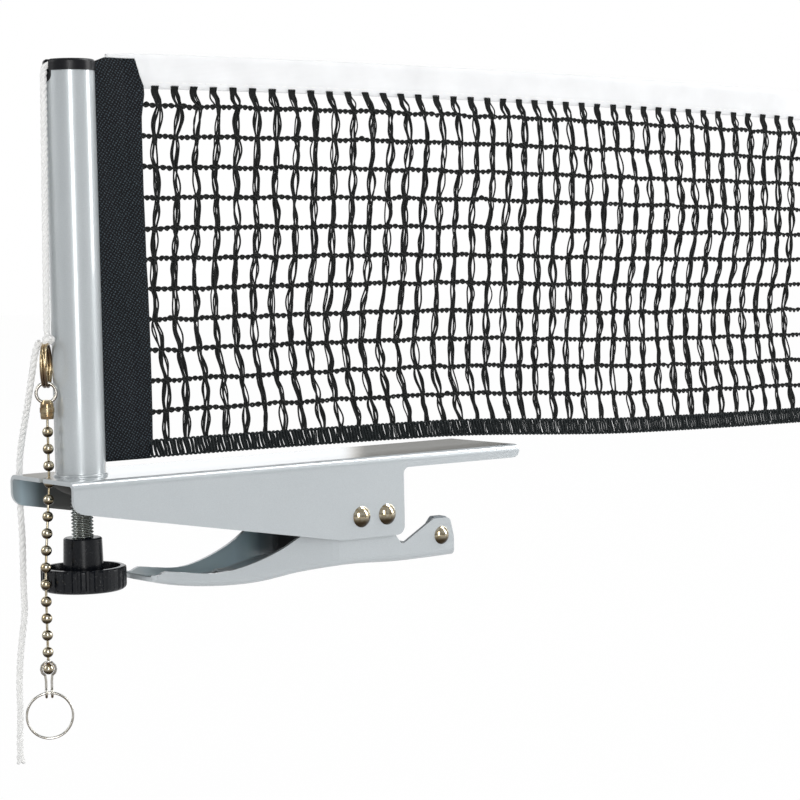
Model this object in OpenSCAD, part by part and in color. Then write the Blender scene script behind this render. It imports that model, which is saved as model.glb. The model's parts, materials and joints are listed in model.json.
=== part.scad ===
// Clip-on table tennis net post: a sprung clamp, its post and the clamp end of the net.
// Millimetres. X = 0 is the table's edge, Z = 0 the playing surface, Y = 0 the plane of the net.

/* [Bracket] */
// Thickness of the bracket's steel sheet
sheet_t = 1.5; // [1.2:0.1:2]
// Outside width of the bracket
bracket_w = 46; // [44:1:56]
// Outside radius of the bracket's two long bends
bend_r = 2.8; // [2.2:0.2:4]
// Length of the arm, from the table's edge to its free end
arm_len = 143; // [138:1:160]
// Length of the upper jaw over the table
jaw_len = 57.5; // [45:0.5:80]
// Height of the flanges at the free end, from the plate's top
flange_end_h = 10.8; // [9:0.1:14]
// Height of the flanges at the deepest point, from the plate's top
flange_deep_h = 30.6; // [29:0.1:36]
// Distance of the flanges' knee from the table's edge
knee_x = 30; // [26:1:45]
// Width of the slot that locks a ball of the chain
notch_w = 2.6; // [2.2:0.1:3.2]
// Thickness of the soft pad under the upper jaw
jaw_pad_t = 3.7; // [3:0.1:6]

/* [Post] */
// Distance of the post's axis from the table's edge
post_x = 127; // [122:1:130]
// Height of the post's top above the playing surface
post_top = 152.5; // [145:0.5:160]
// Outside diameter of the tube
post_d = 18; // [17:0.5:20]
// Wall of the tube
post_wall = 1.2; // [1:0.1:1.6]
// Width of the slot that the net's sleeve runs in
slot_w = 4; // [3:0.2:5]
// Height of the cap's rim
cap_rim_h = 4.1; // [3.8:0.1:5]
// How far the cap's rim stands out over the tube
cap_lip = 0.3; // [0.1:0.1:0.8]
// Length of the cap's plug inside the tube
cap_plug_h = 6; // [4:0.5:8]

/* [Height screw] */
// Diameter of the screw's thread
screw_d = 8; // [6:0.5:10]
// Height of the screw's tip above the playing surface
screw_tip_z = 14; // [12:0.5:18]
// Diameter of the domed nut under the plate
nut_d = 21; // [19:0.5:24]
// Depth of the domed nut under the plate
nut_h = 5.8; // [4:0.2:7]
// Distance from the playing surface down to the knob's hub
hub_top_drop = 17; // [14:0.5:20]
// Diameter of the knob over its ribs
knob_d = 30.6; // [26:0.2:31]
// Height of the knob's rim
knob_rim_h = 8.4; // [6:0.2:10]
// Height of the hub above the knob's rim
knob_hub_h = 10.4; // [8:0.2:12]
// Diameter of the hub at its top
hub_d = 13.8; // [12:0.2:16]
// Number of grip ribs
knob_ribs = 30; // [24:1:40]

/* [Lever] */
// Thickness of the lever's steel sheet
lever_t = 1.5; // [1.2:0.1:2]
// Side play between the lever and the bracket, each side
lever_play = 0.4; // [0.3:0.05:0.8]
// Outside width of the lever at the end of its handle
handle_w = 20.4; // [18:0.2:24]
// Outside radius of the lever's bends
lever_bend_r = 2.4; // [2:0.1:3]
// Distance of the lever's pivot from the table's edge
pivot_x = 8.2; // [7:0.1:10]
// Depth of the pivot and the stop below the playing surface
pivot_drop = 17; // [15:0.5:18]
// Distance between the pivot and the stop rivet
stop_gap = 12; // [11:0.5:14]
// How far the lever turns as its handle is squeezed, in degrees
squeeze_deg = 20; // [8:1:20]
// Depth of the lower jaw's crest below the playing surface
crest_drop = 20.9; // [20:0.1:23]
// How far the lower jaw's pad stands above the crest
lower_pad_rise = 0.5; // [0.2:0.1:1]

/* [Rivets] */
// Shank diameter of the pivot and stop rivets
rivet_d = 5; // [4:0.2:6]
// Head diameter of the pivot and stop rivets
rivet_head_d = 8; // [7:0.2:9]
// Shank diameter of the rivets that hold the lower pad
tip_rivet_d = 4; // [3:0.2:5]
// Head diameter of the rivets that hold the lower pad
tip_head_d = 7; // [6:0.2:8]
// Running clearance round a moving shank, on the radius
run_gap = 0.05; // [0.02:0.01:0.08]

/* [Spring] */
// Diameter of the spring's wire
wire_d = 1.8; // [1.4:0.1:2]
// Inside radius of the spring's coils
coil_inner_r = 4.6; // [4.2:0.1:5]
// Number of coils
coils = 6; // [4:1:7]
// Distance from one coil to the next
coil_pitch = 2.5; // [2.4:0.1:2.8]

/* [Net] */
// Distance from the table's edge to the modelled net's far end
net_end = 258; // [200:1:400]
// Sag of the net, in millimetres 100 mm from the post
net_sag = 0.56; // [0:0.02:0.6]
// Height of the net's top edge at the post
net_top = 155.5; // [154:0.5:158]
// Height of the white top band
band_h = 12.6; // [10:0.2:16]
// Thickness of the folded band
band_t = 1.8; // [1.4:0.1:2.4]
// Distance between the net's cross strands
row_pitch = 11.06; // [10:0.02:12]
// Number of cross strands
net_rows = 11; // [8:1:12]
// Number of upright strands
net_columns = 24; // [10:1:24]
// Width of a strand
strand_w = 1.8; // [1:0.1:2.4]
// Height of the crocheted bottom edge
edge_h = 7; // [4:0.5:8]
// Width of the sleeve outside the post
sleeve_w = 22; // [16:0.5:26]
// Thickness of the sleeve's two layers
sleeve_t = 1.6; // [1.2:0.1:2]
// Width of the far sleeve
far_sleeve_w = 11; // [8:0.5:20]
// Diameter of the rod in the sleeve
rod_d = 7; // [5:0.5:8]

/* [Chain and cord] */
// Diameter of the tension cord
cord_d = 2.5; // [2:0.1:3]
// Diameter of a chain ball
ball_d = 3.9; // [3.6:0.1:4]
// Distance from one ball to the next
ball_pitch = 6; // [5.5:0.1:6.5]
// Balls above the locked one
balls_above = 3; // [2:1:3]
// Balls below the locked one
balls_below = 11; // [8:1:11]
// Outside diameter of the split ring
split_ring_d = 16; // [13:0.2:17]
// Outside diameter of the link between ring and chain
link_ring_d = 8.2; // [7.6:0.1:8.4]
// Outside diameter of the pull ring
pull_ring_d = 17; // [15:0.2:24]

/* [Hidden] */
big = 400;
hair = 0.01;
seat_gap = 0.02;

plate_top = jaw_pad_t + sheet_t;
plate_under = jaw_pad_t;
flange_lift = 0.2;
post_pos = [-post_x, 0];
post_r = post_d/2;
bore_r = post_r - post_wall;
tube_top = post_top - cap_rim_h;
cap_r = post_r + cap_lip;

silver = [0.76, 0.77, 0.78];
black_plastic = [0.07, 0.07, 0.08];
zinc = [0.66, 0.66, 0.63];
nickel = [0.72, 0.68, 0.6];
brass = [0.72, 0.58, 0.32];
white_cloth = [0.95, 0.95, 0.94];
black_cloth = [0.06, 0.07, 0.09];
cord_white = [0.93, 0.92, 0.89];
rubber = [0.12, 0.12, 0.12];

// ---- helpers ----

// Points of a round corner at b, between a and c.
function corner(a, b, c, r, n = 6) =
    let (
        u = (a - b)/norm(a - b),
        v = (c - b)/norm(c - b),
        half = acos(u*v)/2,
        reach = r/tan(half),
        m = (u + v)/norm(u + v),
        centre = b + m*r/sin(half),
        p = b + u*reach - centre,
        q = b + v*reach - centre,
        span = 180 - 2*half
    )
    [for (i = [0:n]) centre + (p*sin(span*(1 - i/n)) + q*sin(span*i/n))/sin(span)];

// Smooth curve through [x, z] points, read at one x.
function smooth_z(pts, x, i = 0) =
    i >= len(pts) - 2 || x <= pts[i + 1][0]
        ? let (
            a = pts[i],
            b = pts[i + 1],
            h = b[0] - a[0],
            t = (x - a[0])/h,
            ma = i > 0 ? (b[1] - pts[i - 1][1])/(b[0] - pts[i - 1][0]) : (b[1] - a[1])/h,
            mb = i < len(pts) - 2 ? (pts[i + 2][1] - a[1])/(pts[i + 2][0] - a[0])
                : (b[1] - a[1])/h
        )
        a[1]*(2*pow(t, 3) - 3*t*t + 1) + ma*h*(pow(t, 3) - 2*t*t + t)
            + b[1]*(3*t*t - 2*pow(t, 3)) + mb*h*(pow(t, 3) - t*t)
        : smooth_z(pts, x, i + 1);

// Extrudes an [x, z] outline by w across the net's plane.
module across(w) {
    rotate([90, 0, 0])
        linear_extrude(w, center = true)
            children();
}

// Cylinder across the net's plane.
module pin_y(x, z, r, w) {
    translate([x, 0, z])
        rotate([90, 0, 0])
            cylinder(h = w, r = r, center = true, $fn = 48);
}

// Round bar of radius r from point a to point b.
module bar(a, b, r, n = 16) {
    d = b - a;
    translate(a)
        rotate([0, acos(d[2]/norm(d)), atan2(d[1], d[0])])
            cylinder(h = norm(d), r = r, $fn = n);
}

// Joins rings of points into a closed solid.
module skin(rings, closed_loop = false) {
    n = len(rings[0]);
    m = len(rings);
    points = [for (ring = rings) for (p = ring) p];
    sides = [
        for (i = [0:m - 2]) for (j = [0:n - 1])
            let (k = (j + 1)%n)
            for (f = [[i*n + j, i*n + k, (i + 1)*n + k], [i*n + j, (i + 1)*n + k, (i + 1)*n + j]]) f
    ];
    first = [for (j = [n - 1:-1:0]) j];
    last = [for (j = [0:n - 1]) (m - 1)*n + j];
    polyhedron(points, concat(sides, [first], [last]));
}

// Ring of points round p, square to direction d.
function ring_at(p, d, side, r, n) =
    let (
        w = d/norm(d),
        u0 = side - w*(side*w),
        u = u0/norm(u0),
        v = cross(w, u)
    )
    [for (j = [0:n - 1]) p + r*(u*cos(360*j/n) - v*sin(360*j/n))];

// Tube of diameter d along points, its rings square to the path.
module tube(path, d, side = [0, 1, 0], n = 8) {
    last = len(path) - 1;
    skin([
        for (i = [0:last])
            let (dir = path[min(i + 1, last)] - path[max(i - 1, 0)])
            ring_at(path[i], dir, side, d/2, n)
    ]);
}

// Catmull-Rom curve through hand-set points, with n steps between each pair.
function curve(pts, n) =
    let (last = len(pts) - 1)
    concat(
        [
            for (i = [0:last - 1]) for (k = [0:n - 1])
                let (
                    t = k/n,
                    a = pts[max(i - 1, 0)],
                    b = pts[i],
                    c = pts[i + 1],
                    d = pts[min(i + 2, last)]
                )
                0.5*((2*b) + (c - a)*t + (2*a - 5*b + 4*c - d)*t*t
                    + (3*b - a - 3*c + d)*pow(t, 3))
        ],
        [pts[last]]
    );

// Total length of a chain of points.
function path_length(p, i = 0) =
    i >= len(p) - 1 ? 0 : norm(p[i + 1] - p[i]) + path_length(p, i + 1);

// Point at distance s along a chain of points.
function point_at(p, s, i = 0) =
    let (step = norm(p[i + 1] - p[i]))
    s <= step || i >= len(p) - 2
        ? p[i] + (p[i + 1] - p[i])*s/step
        : point_at(p, s - step, i + 1);

// ---- bracket ----

// Cross-section of a folded channel, open below, its top at y = 0.
module channel_section(w, h, t, r) {
    difference() {
        round_top(w, h, r);
        translate([0, -t])
            round_top(w - 2*t, h, r - t);
    }
}

module round_top(w, h, r) {
    translate([-w/2, -h])
        square([w, h - r]);
    translate([-w/2 + r, -r - hair])
        square([w - 2*r, r + hair]);
    for (s = [-1, 1])
        translate([s*(w/2 - r), -r])
            circle(r, $fn = 48);
}

flange_end_z = plate_top - flange_end_h;
flange_deep_z = plate_top - flange_deep_h;
jaw_edge_z = flange_lift;
deep_corner_r = 3.6;
end_corner_r = 5;
throat_r = 2.4;
jaw_corner_r = 3.2;
outer_over = 10;

// Side view of the bracket.
function bracket_outline() =
    let (
        top_l = [-arm_len, plate_top + outer_over],
        end_l = [-arm_len, flange_end_z],
        knee = [-knee_x, flange_deep_z + 0.3],
        deep = [0, flange_deep_z],
        throat = [0, jaw_edge_z],
        jaw_b = [jaw_len, jaw_edge_z],
        jaw_t = [jaw_len, plate_top + outer_over]
    )
    concat(
        [top_l],
        corner(top_l, end_l, knee, end_corner_r),
        [knee],
        corner(knee, deep, throat, deep_corner_r),
        corner(deep, throat, jaw_b, throat_r),
        corner(throat, jaw_b, jaw_t, jaw_corner_r),
        [jaw_t]
    );

spigot_r = bore_r - seat_gap;
chain_x = -post_x - 12.8;

module bracket() {
    color(silver)
        difference() {
            intersection() {
                translate([-arm_len, 0, plate_top])
                    rotate([90, 0, 90])
                        linear_extrude(arm_len + jaw_len)
                            channel_section(bracket_w, flange_deep_h + 5, sheet_t, bend_r);
                across(bracket_w + 2)
                    polygon(bracket_outline());
            }
            translate([-post_x, 0, plate_under - 1])
                cylinder(h = sheet_t + 2, r = spigot_r + seat_gap, $fn = 64);
            chain_slot();
            for (x = [-pivot_x, -pivot_x - stop_gap])
                pin_y(x, -pivot_drop, rivet_d/2 + seat_gap, bracket_w + 4);
        }
}

// Slot in the free end; a ball locks in the round seat under its end.
module chain_slot() {
    translate([chain_x, 0, lock_z])
        sphere(ball_d/2 + 0.05, $fn = 48);
    translate([-arm_len - 1, -notch_w/2, plate_under - 1])
        cube([chain_x + arm_len + 1, notch_w, sheet_t + 2]);
    translate([chain_x, 0, plate_under - 1])
        cylinder(h = sheet_t + 2, r = notch_w/2, $fn = 48);
}

// ---- post ----

slot_low = plate_top + 4;
cord_x = -post_x - post_r - cord_d/2 - 0.15;
tongue_w = 5;
tongue_drop = 3.8;
tongue_end_z = tube_top - tongue_drop + tongue_w/2;

// Round-ended notch for the cord, in the tube's outer wall.
module cord_notch(w, extra) {
    translate([-post_x - post_r - 2, 0, tongue_end_z])
        rotate([0, 90, 0])
            cylinder(h = post_wall + 3, r = w/2, $fn = 48);
    translate([-post_x - post_r - 2, -w/2, tongue_end_z])
        cube([post_wall + 3, w, tube_top - tongue_end_z + extra]);
}

module post_tube() {
    color(silver)
        difference() {
            translate([-post_x, 0, plate_top])
                cylinder(h = tube_top - plate_top, r = post_r, $fn = 96);
            translate([-post_x, 0, plate_top - 1])
                cylinder(h = tube_top - plate_top + 2, r = bore_r, $fn = 96);
            translate([-post_x, -slot_w/2, slot_low])
                cube([post_r + 1, slot_w, tube_top - slot_low + 1]);
            cord_notch(tongue_w + 2*seat_gap, 1);
        }
}

cap_edge_r = 1.2;
cap_bore_z = post_top - cord_d/2 - 1.4;

module post_cap() {
    color(black_plastic)
        difference() {
            union() {
                translate([-post_x, 0, 0])
                    rotate_extrude($fn = 96)
                        polygon(concat(
                            [[0, tube_top + hair], [cap_r, tube_top + hair]],
                            corner([cap_r, tube_top], [cap_r, post_top], [0, post_top], cap_edge_r),
                            [[0, post_top]]
                        ));
                translate([-post_x, 0, tube_top - cap_plug_h])
                    cylinder(h = cap_plug_h + 1, r = bore_r - seat_gap, $fn = 96);
                cap_tongue();
            }
            // the way of the cord: a bore from the net's side, open to the outside
            translate([cord_x, 0, cap_bore_z])
                rotate([0, 90, 0])
                    cylinder(h = 2*cap_r + 4, r = cord_d/2 + 0.1, $fn = 48);
            translate([-post_x - cap_r - 1, -cord_d/2 - 0.3, cap_bore_z - 2])
                cube([cap_r - 4.6, cord_d + 0.6, post_top]);
            translate([cord_x, 0, tube_top - tongue_drop - 1])
                cylinder(h = tongue_drop + 8, r = cord_d/2 + 0.1, $fn = 48);
        }
}

// Tongue of the cap that lines the cord's notch in the tube.
module cap_tongue() {
    intersection() {
        cord_notch(tongue_w, 0.5);
        translate([-post_x, 0, tube_top - tongue_drop - 1])
            difference() {
                cylinder(h = tongue_drop + 2, r = post_r + 0.1, $fn = 96);
                translate([0, 0, -1])
                    cylinder(h = tongue_drop + 4, r = bore_r - 1, $fn = 96);
            }
    }
}

// ---- height screw ----

nut_spigot_h = 2.6;
nut_rim_h = 1.4;

module domed_nut() {
    dome_h = nut_h - nut_rim_h;
    dome_r = (pow(nut_d/2, 2) + dome_h*dome_h)/(2*dome_h);
    color(silver)
        difference() {
            union() {
                translate([-post_x, 0, plate_under - nut_rim_h])
                    cylinder(h = nut_rim_h - hair, r = nut_d/2, $fn = 96);
                intersection() {
                    translate([-post_x, 0, plate_under - nut_h + dome_r])
                        sphere(dome_r, $fn = 96);
                    translate([-post_x, 0, plate_under - nut_h - 1])
                        cylinder(h = nut_h - nut_rim_h + 1 + hair, r = nut_d/2, $fn = 96);
                }
                translate([-post_x, 0, plate_under - 1])
                    cylinder(h = sheet_t + nut_spigot_h + 1, r = spigot_r, $fn = 96);
            }
            translate([-post_x, 0, -50])
                cylinder(h = 100, r = screw_d/2 + run_gap, $fn = 64);
        }
}

hub_top_z = -hub_top_drop;
rim_top_z = hub_top_z - knob_hub_h;
rim_low_z = rim_top_z - knob_rim_h;
screw_seat_z = rim_top_z - 3;
dog_d = screw_d*0.72;
dog_h = 4;

module height_screw() {
    color(zinc) {
        translate([-post_x, 0, screw_seat_z])
            cylinder(h = screw_tip_z - dog_h - screw_seat_z, r = screw_d/2, $fn = 64);
        translate([-post_x, 0, screw_tip_z - dog_h - hair])
            cylinder(h = dog_h + hair, r = dog_d/2, $fn = 64);
    }
}

rib_depth = 0.6;
dish_depth = 2.6;
dish_wall = 1.8;
knob_edge_r = 2;
knob_r = knob_d/2;

// Plan of the grip: upright ribs round the rim.
module grip_plan() {
    pitch = 360/knob_ribs;
    polygon([
        for (i = [0:knob_ribs - 1]) for (c = [[-0.36, 1], [-0.16, 0], [0.16, 0], [0.36, 1]])
            let (a = (i + c[0])*pitch, r = knob_r - rib_depth*c[1])
            [r*cos(a), r*sin(a)]
    ]);
}

module knob() {
    hub_low_r = hub_d/2 + 0.35;
    dish_r = knob_r - rib_depth - dish_wall;
    color(black_plastic)
        translate([-post_x, 0, 0])
            difference() {
                intersection() {
                    translate([0, 0, rim_low_z - 1])
                        linear_extrude(hub_top_z - rim_low_z + 2)
                            grip_plan();
                    rotate_extrude($fn = 96)
                        polygon(concat(
                            [
                                [0, hub_top_z],
                                [hub_d/2 - 0.5, hub_top_z],
                                [hub_d/2, hub_top_z - 0.5],
                                [hub_low_r, rim_top_z - dish_depth],
                                [dish_r, rim_top_z - dish_depth],
                                [dish_r + 0.3, rim_top_z]
                            ],
                            corner([0, rim_top_z], [knob_r, rim_top_z], [knob_r, rim_low_z], 0.9),
                            corner([knob_r, rim_top_z], [knob_r, rim_low_z],
                                [0, rim_low_z], knob_edge_r),
                            [[0, rim_low_z]]
                        ));
                }
                translate([0, 0, screw_seat_z])
                    cylinder(h = 60, r = screw_d/2 + seat_gap, $fn = 64);
            }
}

// ---- net carrier inside the post ----

foot_low = screw_tip_z - dog_h + 0.3;
foot_h = 10;
foot_top = foot_low + foot_h;
rod_low = foot_top - 5;
rod_top = tube_top - cap_plug_h - 5.5;
foot_r = bore_r - run_gap;

module carrier_foot() {
    color(black_plastic)
        difference() {
            translate([-post_x, 0, foot_low])
                cylinder(h = foot_h, r = foot_r, $fn = 96);
            translate([-post_x, 0, foot_low - 1])
                cylinder(h = dog_h + 0.8, r = dog_d/2 + run_gap, $fn = 64);
            translate([-post_x, 0, rod_low])
                cylinder(h = foot_h, r = rod_d/2 + seat_gap, $fn = 64);
        }
}

module net_rod() {
    color(zinc)
        translate([-post_x, 0, rod_low + seat_gap])
            cylinder(h = rod_top - rod_low, r = rod_d/2, $fn = 64);
}

// ---- net ----

net_x0 = -post_x + post_r + sleeve_w;
band_end = net_end - far_sleeve_w;
sag_steps = 10;

// The net hangs in a shallow curve from the post; its lower rows hang deeper still.
function fall(x) = -net_sag*pow((x - net_x0)/100, 2);
function belly(x) =
    let (t = max(0, min(1, (x - 30)/110)))
    3*t*t*(3 - 2*t) - (x > 140 ? 1.8*pow((x - 140)/110, 2) : 0);
function at_fall(x, z) =
    [x, z + fall(x) - belly(x)*max(0, min(1, (band_low - z)/(band_low - mesh_low)))];
function fall_line(x0, x1, z) = [
    for (i = [0:sag_steps])
        at_fall(x0 + (x1 - x0)*i/sag_steps, z)
];
function backwards(p) = [for (i = [len(p) - 1:-1:0]) p[i]];
function fall_strip(x0, x1, z0, z1) =
    concat(fall_line(x0, x1, z0), backwards(fall_line(x0, x1, z1)));

band_low = net_top - band_h;
mesh_low = slot_low + edge_h;
sleeve_low = slot_low;
sleeve_top = net_top - 1.6;
sleeve_cut = 3;
first_row = band_low - 6.04;
rod_loop_in = rod_d/2 + 0.3;
rod_loop_out = rod_loop_in + sleeve_t/2;
sleeve_post_gap = 0.6;

// Flat part of the sleeve outside the post.
function sleeve_outline() = [
    [-post_x + post_r + sleeve_post_gap, sleeve_low],
    [net_x0 - 1.5, sleeve_low],
    [net_x0, sleeve_low + 5],
    [net_x0 - 0.8, (sleeve_low + sleeve_top)/2],
    [net_x0 - 0.4, band_low - 2],
    [net_x0 - sleeve_cut, sleeve_top],
    [net_x0 - sleeve_cut - 13, sleeve_top - 0.4],
    [-post_x + post_r + sleeve_post_gap, sleeve_top - 1.8]
];

module end_sleeve() {
    loop_low = foot_top + 0.5;
    loop_high = rod_top - 1;
    color(black_cloth)
        difference() {
            union() {
                across(sleeve_t)
                    polygon(sleeve_outline());
                // the stretch in the slot and the loop round the rod
                translate([-post_x, -sleeve_t/2, loop_low])
                    cube([post_r + sleeve_post_gap + hair, sleeve_t, loop_high - loop_low]);
                translate([-post_x, 0, loop_low])
                    cylinder(h = loop_high - loop_low, r = rod_loop_out, $fn = 64);
            }
            translate([-post_x, 0, 0])
                cylinder(h = big, r = rod_loop_in, $fn = 64);
        }
}

mesh_t = 1.2;
mesh_high = band_low;

// Grid of strands, each a straight polygon that follows the net's fall.
module net_mesh() {
    x0 = net_x0 + seat_gap;
    x1 = band_end - seat_gap;
    gap = (x1 - x0 - strand_w)/(net_columns + 1);
    color(black_cloth)
        across(mesh_t) {
            for (i = [0:net_columns + 1])
                let (x = x0 + i*gap)
                polygon([
                    at_fall(x, mesh_low + seat_gap),
                    at_fall(x + strand_w, mesh_low + seat_gap),
                    at_fall(x + strand_w, mesh_high - seat_gap),
                    at_fall(x, mesh_high - seat_gap)
                ]);
            for (k = [0:net_rows - 1])
                row_strand(x0, x1, first_row - k*row_pitch);
            row_strand(x0, x1, mesh_low + seat_gap + strand_w/2);
            row_strand(x0, x1, mesh_high - seat_gap - strand_w/2);
        }
}

module row_strand(x0, x1, z) {
    polygon(fall_strip(x0, x1, z - strand_w/2, z + strand_w/2));
}

// White tape folded over the net's top edge; it also shows above the sleeve.
module top_band() {
    lap_x = net_x0 - sleeve_cut;
    color(white_cloth)
        across(band_t)
            polygon(concat(
                [
                    [lap_x + 0.3, sleeve_top + 0.1],
                    [lap_x - 13, sleeve_top - 0.3],
                    [lap_x - 13, net_top - 0.5],
                    [lap_x, net_top]
                ],
                fall_line(net_x0 + 0.3, band_end - seat_gap, net_top),
                backwards(fall_line(net_x0 + 0.3, band_end - seat_gap, band_low))
            ));
}

module bottom_edge() {
    color(black_cloth)
        across(band_t)
            polygon(fall_strip(net_x0 + 0.3, band_end - seat_gap, slot_low, mesh_low));
}

module far_sleeve() {
    color(black_cloth)
        across(sleeve_t)
            polygon([
                at_fall(band_end, slot_low),
                at_fall(net_end, slot_low),
                at_fall(net_end, net_top),
                at_fall(band_end, net_top)
            ]);
}

// ---- lever ----

lever_w = bracket_w - 2*sheet_t - 2*lever_play;
lever_inner_w = lever_w - 2*lever_t;
taper_start = -knee_x - 1;
handle_end = -post_x + 18.8;
taper_end = handle_end + 9.2;
nose_x = 25.2;
pivot_pos = [-pivot_x, -pivot_drop];
stop_pos = [-pivot_x - stop_gap, -pivot_drop];
crest_z = -crest_drop;
cheek_r = rivet_d/2 + 2.7;

// Underside of the lever: [x, z] points of a smooth curve.
lever_base = [
    [-110, -33.2], [-95, -36.7], [-78, -38.5], [-62, -38.4],
    [-45, -36.1], [-25, -35], [0, -36], [nose_x, -35.8]
];
// Top edge of the handle's flanges.
handle_edge = [
    [-98.8, -31.2], [-92.8, -32.1], [-82, -33.4], [-74.8, -33.2], [-64.6, -31],
    [-54.2, -27.3], [-46.9, -23.4], [-38, -18], [-27, -11.6]
];

function base_z(x) = smooth_z(lever_base, x);

function lever_half_w(x) =
    handle_w/2 + (lever_w - handle_w)/2
        * max(0, min(1, (x - taper_end)/(taper_start - taper_end)));

// Top edge of the lever, from the tongue to the jaw's nose: x always grows.
function lever_top_line() =
    let (
        steps = 26,
        low_x = handle_edge[0][0],
        high_x = handle_edge[len(handle_edge) - 1][0],
        notch_top = [pivot_pos[0] + cheek_r + 0.2, -25.9],
        notch = [0, -29.6],
        crest_a = [15.4, crest_z],
        crest_b = [23.4, crest_z]
    )
    concat(
        // the end keeps only the rims of the two bends
        [
            for (x = [handle_end, handle_end + 1.9, handle_end + 3.9, handle_end + 5.4])
                [x, base_z(x) + lever_bend_r + 0.1]
        ],
        [[handle_end + 6.6, -32.3], [handle_end + 7.8, -31.7]],
        [
            for (i = [0:steps])
                let (x = low_x + (high_x - low_x)*i/steps)
                [x, smooth_z(handle_edge, x)]
        ],
        [[-20.2, -10.2], [-14, -10.4]],
        [for (a = [110:-20:10]) pivot_pos + cheek_r*[cos(a), sin(a)]],
        corner(pivot_pos + [cheek_r, 0], notch_top, notch, 1.5, 3),
        corner(notch_top, notch, [11.3, -22.9], 1.4, 4),
        corner([4.5, -26.8], crest_a, crest_b, 6, 5),
        corner(crest_a, crest_b, [nose_x, -28.5], 2.4, 6),
        [[nose_x, -28.5]]
    );

// Half of a channel section at x, inset from the outside, top corner first.
function lever_half(x, top, inset) =
    let (
        w = lever_half_w(x) - inset,
        z = base_z(x) + inset,
        r = lever_bend_r - inset,
        n = 4
    )
    concat(
        [[w, top]],
        [for (i = [0:n]) let (a = 90*i/n) [w - r + r*cos(a), z + r - r*sin(a)]]
    );
function both_halves(x, half) = concat(
    [for (p = half) [x, p[0], p[1]]],
    [for (i = [len(half) - 1:-1:0]) [x, -half[i][0], half[i][1]]]
);

// Folded channel, open above: outer and inner skins joined at their edges.
module lever_channel() {
    line = lever_top_line();
    n = len(both_halves(0, lever_half(0, 0, 0)));
    points = [
        for (p = line)
            for (q = concat(
                both_halves(p[0], lever_half(p[0], p[1], 0)),
                both_halves(p[0], lever_half(p[0], p[1], lever_t))
            )) q
    ];
    m = 2*n;
    last = (len(line) - 1)*m;
    // one quad is split into two triangles
    quads = concat(
        [
            for (i = [0:len(line) - 2]) for (j = [0:n - 2])
                for (q = [
                    [i*m + j, i*m + j + 1, (i + 1)*m + j + 1, (i + 1)*m + j],
                    [i*m + n + j + 1, i*m + n + j, (i + 1)*m + n + j, (i + 1)*m + n + j + 1]
                ]) q
        ],
        [
            for (i = [0:len(line) - 2])
                for (q = [
                    [i*m + n, i*m, (i + 1)*m, (i + 1)*m + n],
                    [i*m + n - 1, i*m + m - 1, (i + 1)*m + m - 1, (i + 1)*m + n - 1]
                ]) q
        ],
        [
            for (j = [0:n - 2])
                for (q = [
                    [j, n + j, n + j + 1, j + 1],
                    [last + j, last + j + 1, last + n + j + 1, last + n + j]
                ]) q
        ]
    );
    polyhedron(points, [for (q = quads) for (f = [[q[0], q[1], q[2]], [q[0], q[2], q[3]]]) f]);
}

hook_x = -71;
hook_len = 7;
hook_rise = 3.8;

// Bridge pressed up from the web, over the spring's leg.
module spring_hook() {
    web_z = base_z(hook_x + hook_len/2) + lever_t;
    difference() {
        translate([hook_x, 0, web_z - 0.5])
            rotate([0, 90, 0])
                cylinder(h = hook_len, r = hook_rise, $fn = 48);
        translate([hook_x - 1, -5, web_z - 10])
            cube([hook_len + 2, 10, 9.6]);
        translate([hook_x - 1, 0, web_z - 0.5])
            rotate([0, 90, 0])
                cylinder(h = hook_len + 2, r = hook_rise - 0.9, $fn = 48);
    }
}

module lever() {
    color(silver)
        difference() {
            union() {
                lever_channel();
                spring_hook();
            }
            pin_y(pivot_pos[0], pivot_pos[1], rivet_d/2 + run_gap, big);
            stop_slot();
            pin_y(tip_x, tip_z, tip_rivet_d/2 + seat_gap, big);
            // rounds the tongue's corners in plan
            translate([handle_end - 1, 0, -50])
                difference() {
                    translate([0, -lever_w/2, 0])
                        cube([tongue_r*0.5 + 1, lever_w, 30]);
                    translate([tongue_r + 1, 0, -1])
                        cylinder(h = 32, r = tongue_r, $fn = 64);
                }
        }
}

tongue_r = handle_w/2 + 1.2;
stop_r = rivet_d/2 + 0.35;
stop_spare = 1.5;

// Curved slot that the stop rivet runs in as the lever turns.
module stop_slot() {
    turn = squeeze_deg + stop_spare;
    far_end = stop_gap*[-cos(turn), -sin(turn)];
    across(2*bracket_w)
        translate(pivot_pos)
            polygon(concat(
                [for (i = [0:10]) -(stop_gap + stop_r)*[cos(turn*i/10), sin(turn*i/10)]],
                [for (i = [1:9]) far_end + stop_r*[cos(180 + turn + 18*i), sin(180 + turn + 18*i)]],
                [for (i = [10:-1:0]) -(stop_gap - stop_r)*[cos(turn*i/10), sin(turn*i/10)]],
                [for (i = [1:9]) [-stop_gap, 0] + stop_r*[cos(18*i), sin(18*i)]]
            ));
}

// ---- rivets, bush and spring ----

// Round head on the side s of the clamp, its flat face at the distance y.
module rivet_head(x, y, z, head_d, s) {
    head_h = head_d*0.27;
    dome_r = (pow(head_d/2, 2) + head_h*head_h)/(2*head_h);
    translate([x, s*(y + seat_gap), z])
        rotate([-90*s, 0, 0])
            intersection() {
                translate([0, 0, head_h - dome_r])
                    sphere(dome_r, $fn = 64);
                cylinder(h = head_h + 1, r = head_d, $fn = 64);
            }
}

// Round-headed rivet across the clamp; its heads seat on faces w apart.
module rivet(x, z, shank_d, head_d, w) {
    color(nickel) {
        pin_y(x, z, shank_d/2, w + 0.4);
        for (s = [-1, 1])
            rivet_head(x, w/2, z, head_d, s);
    }
}

tip_x = 19.2;
tip_z = -27.6;

module pivot_rivet() {
    rivet(pivot_pos[0], pivot_pos[1], rivet_d, rivet_head_d, bracket_w);
}

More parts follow.
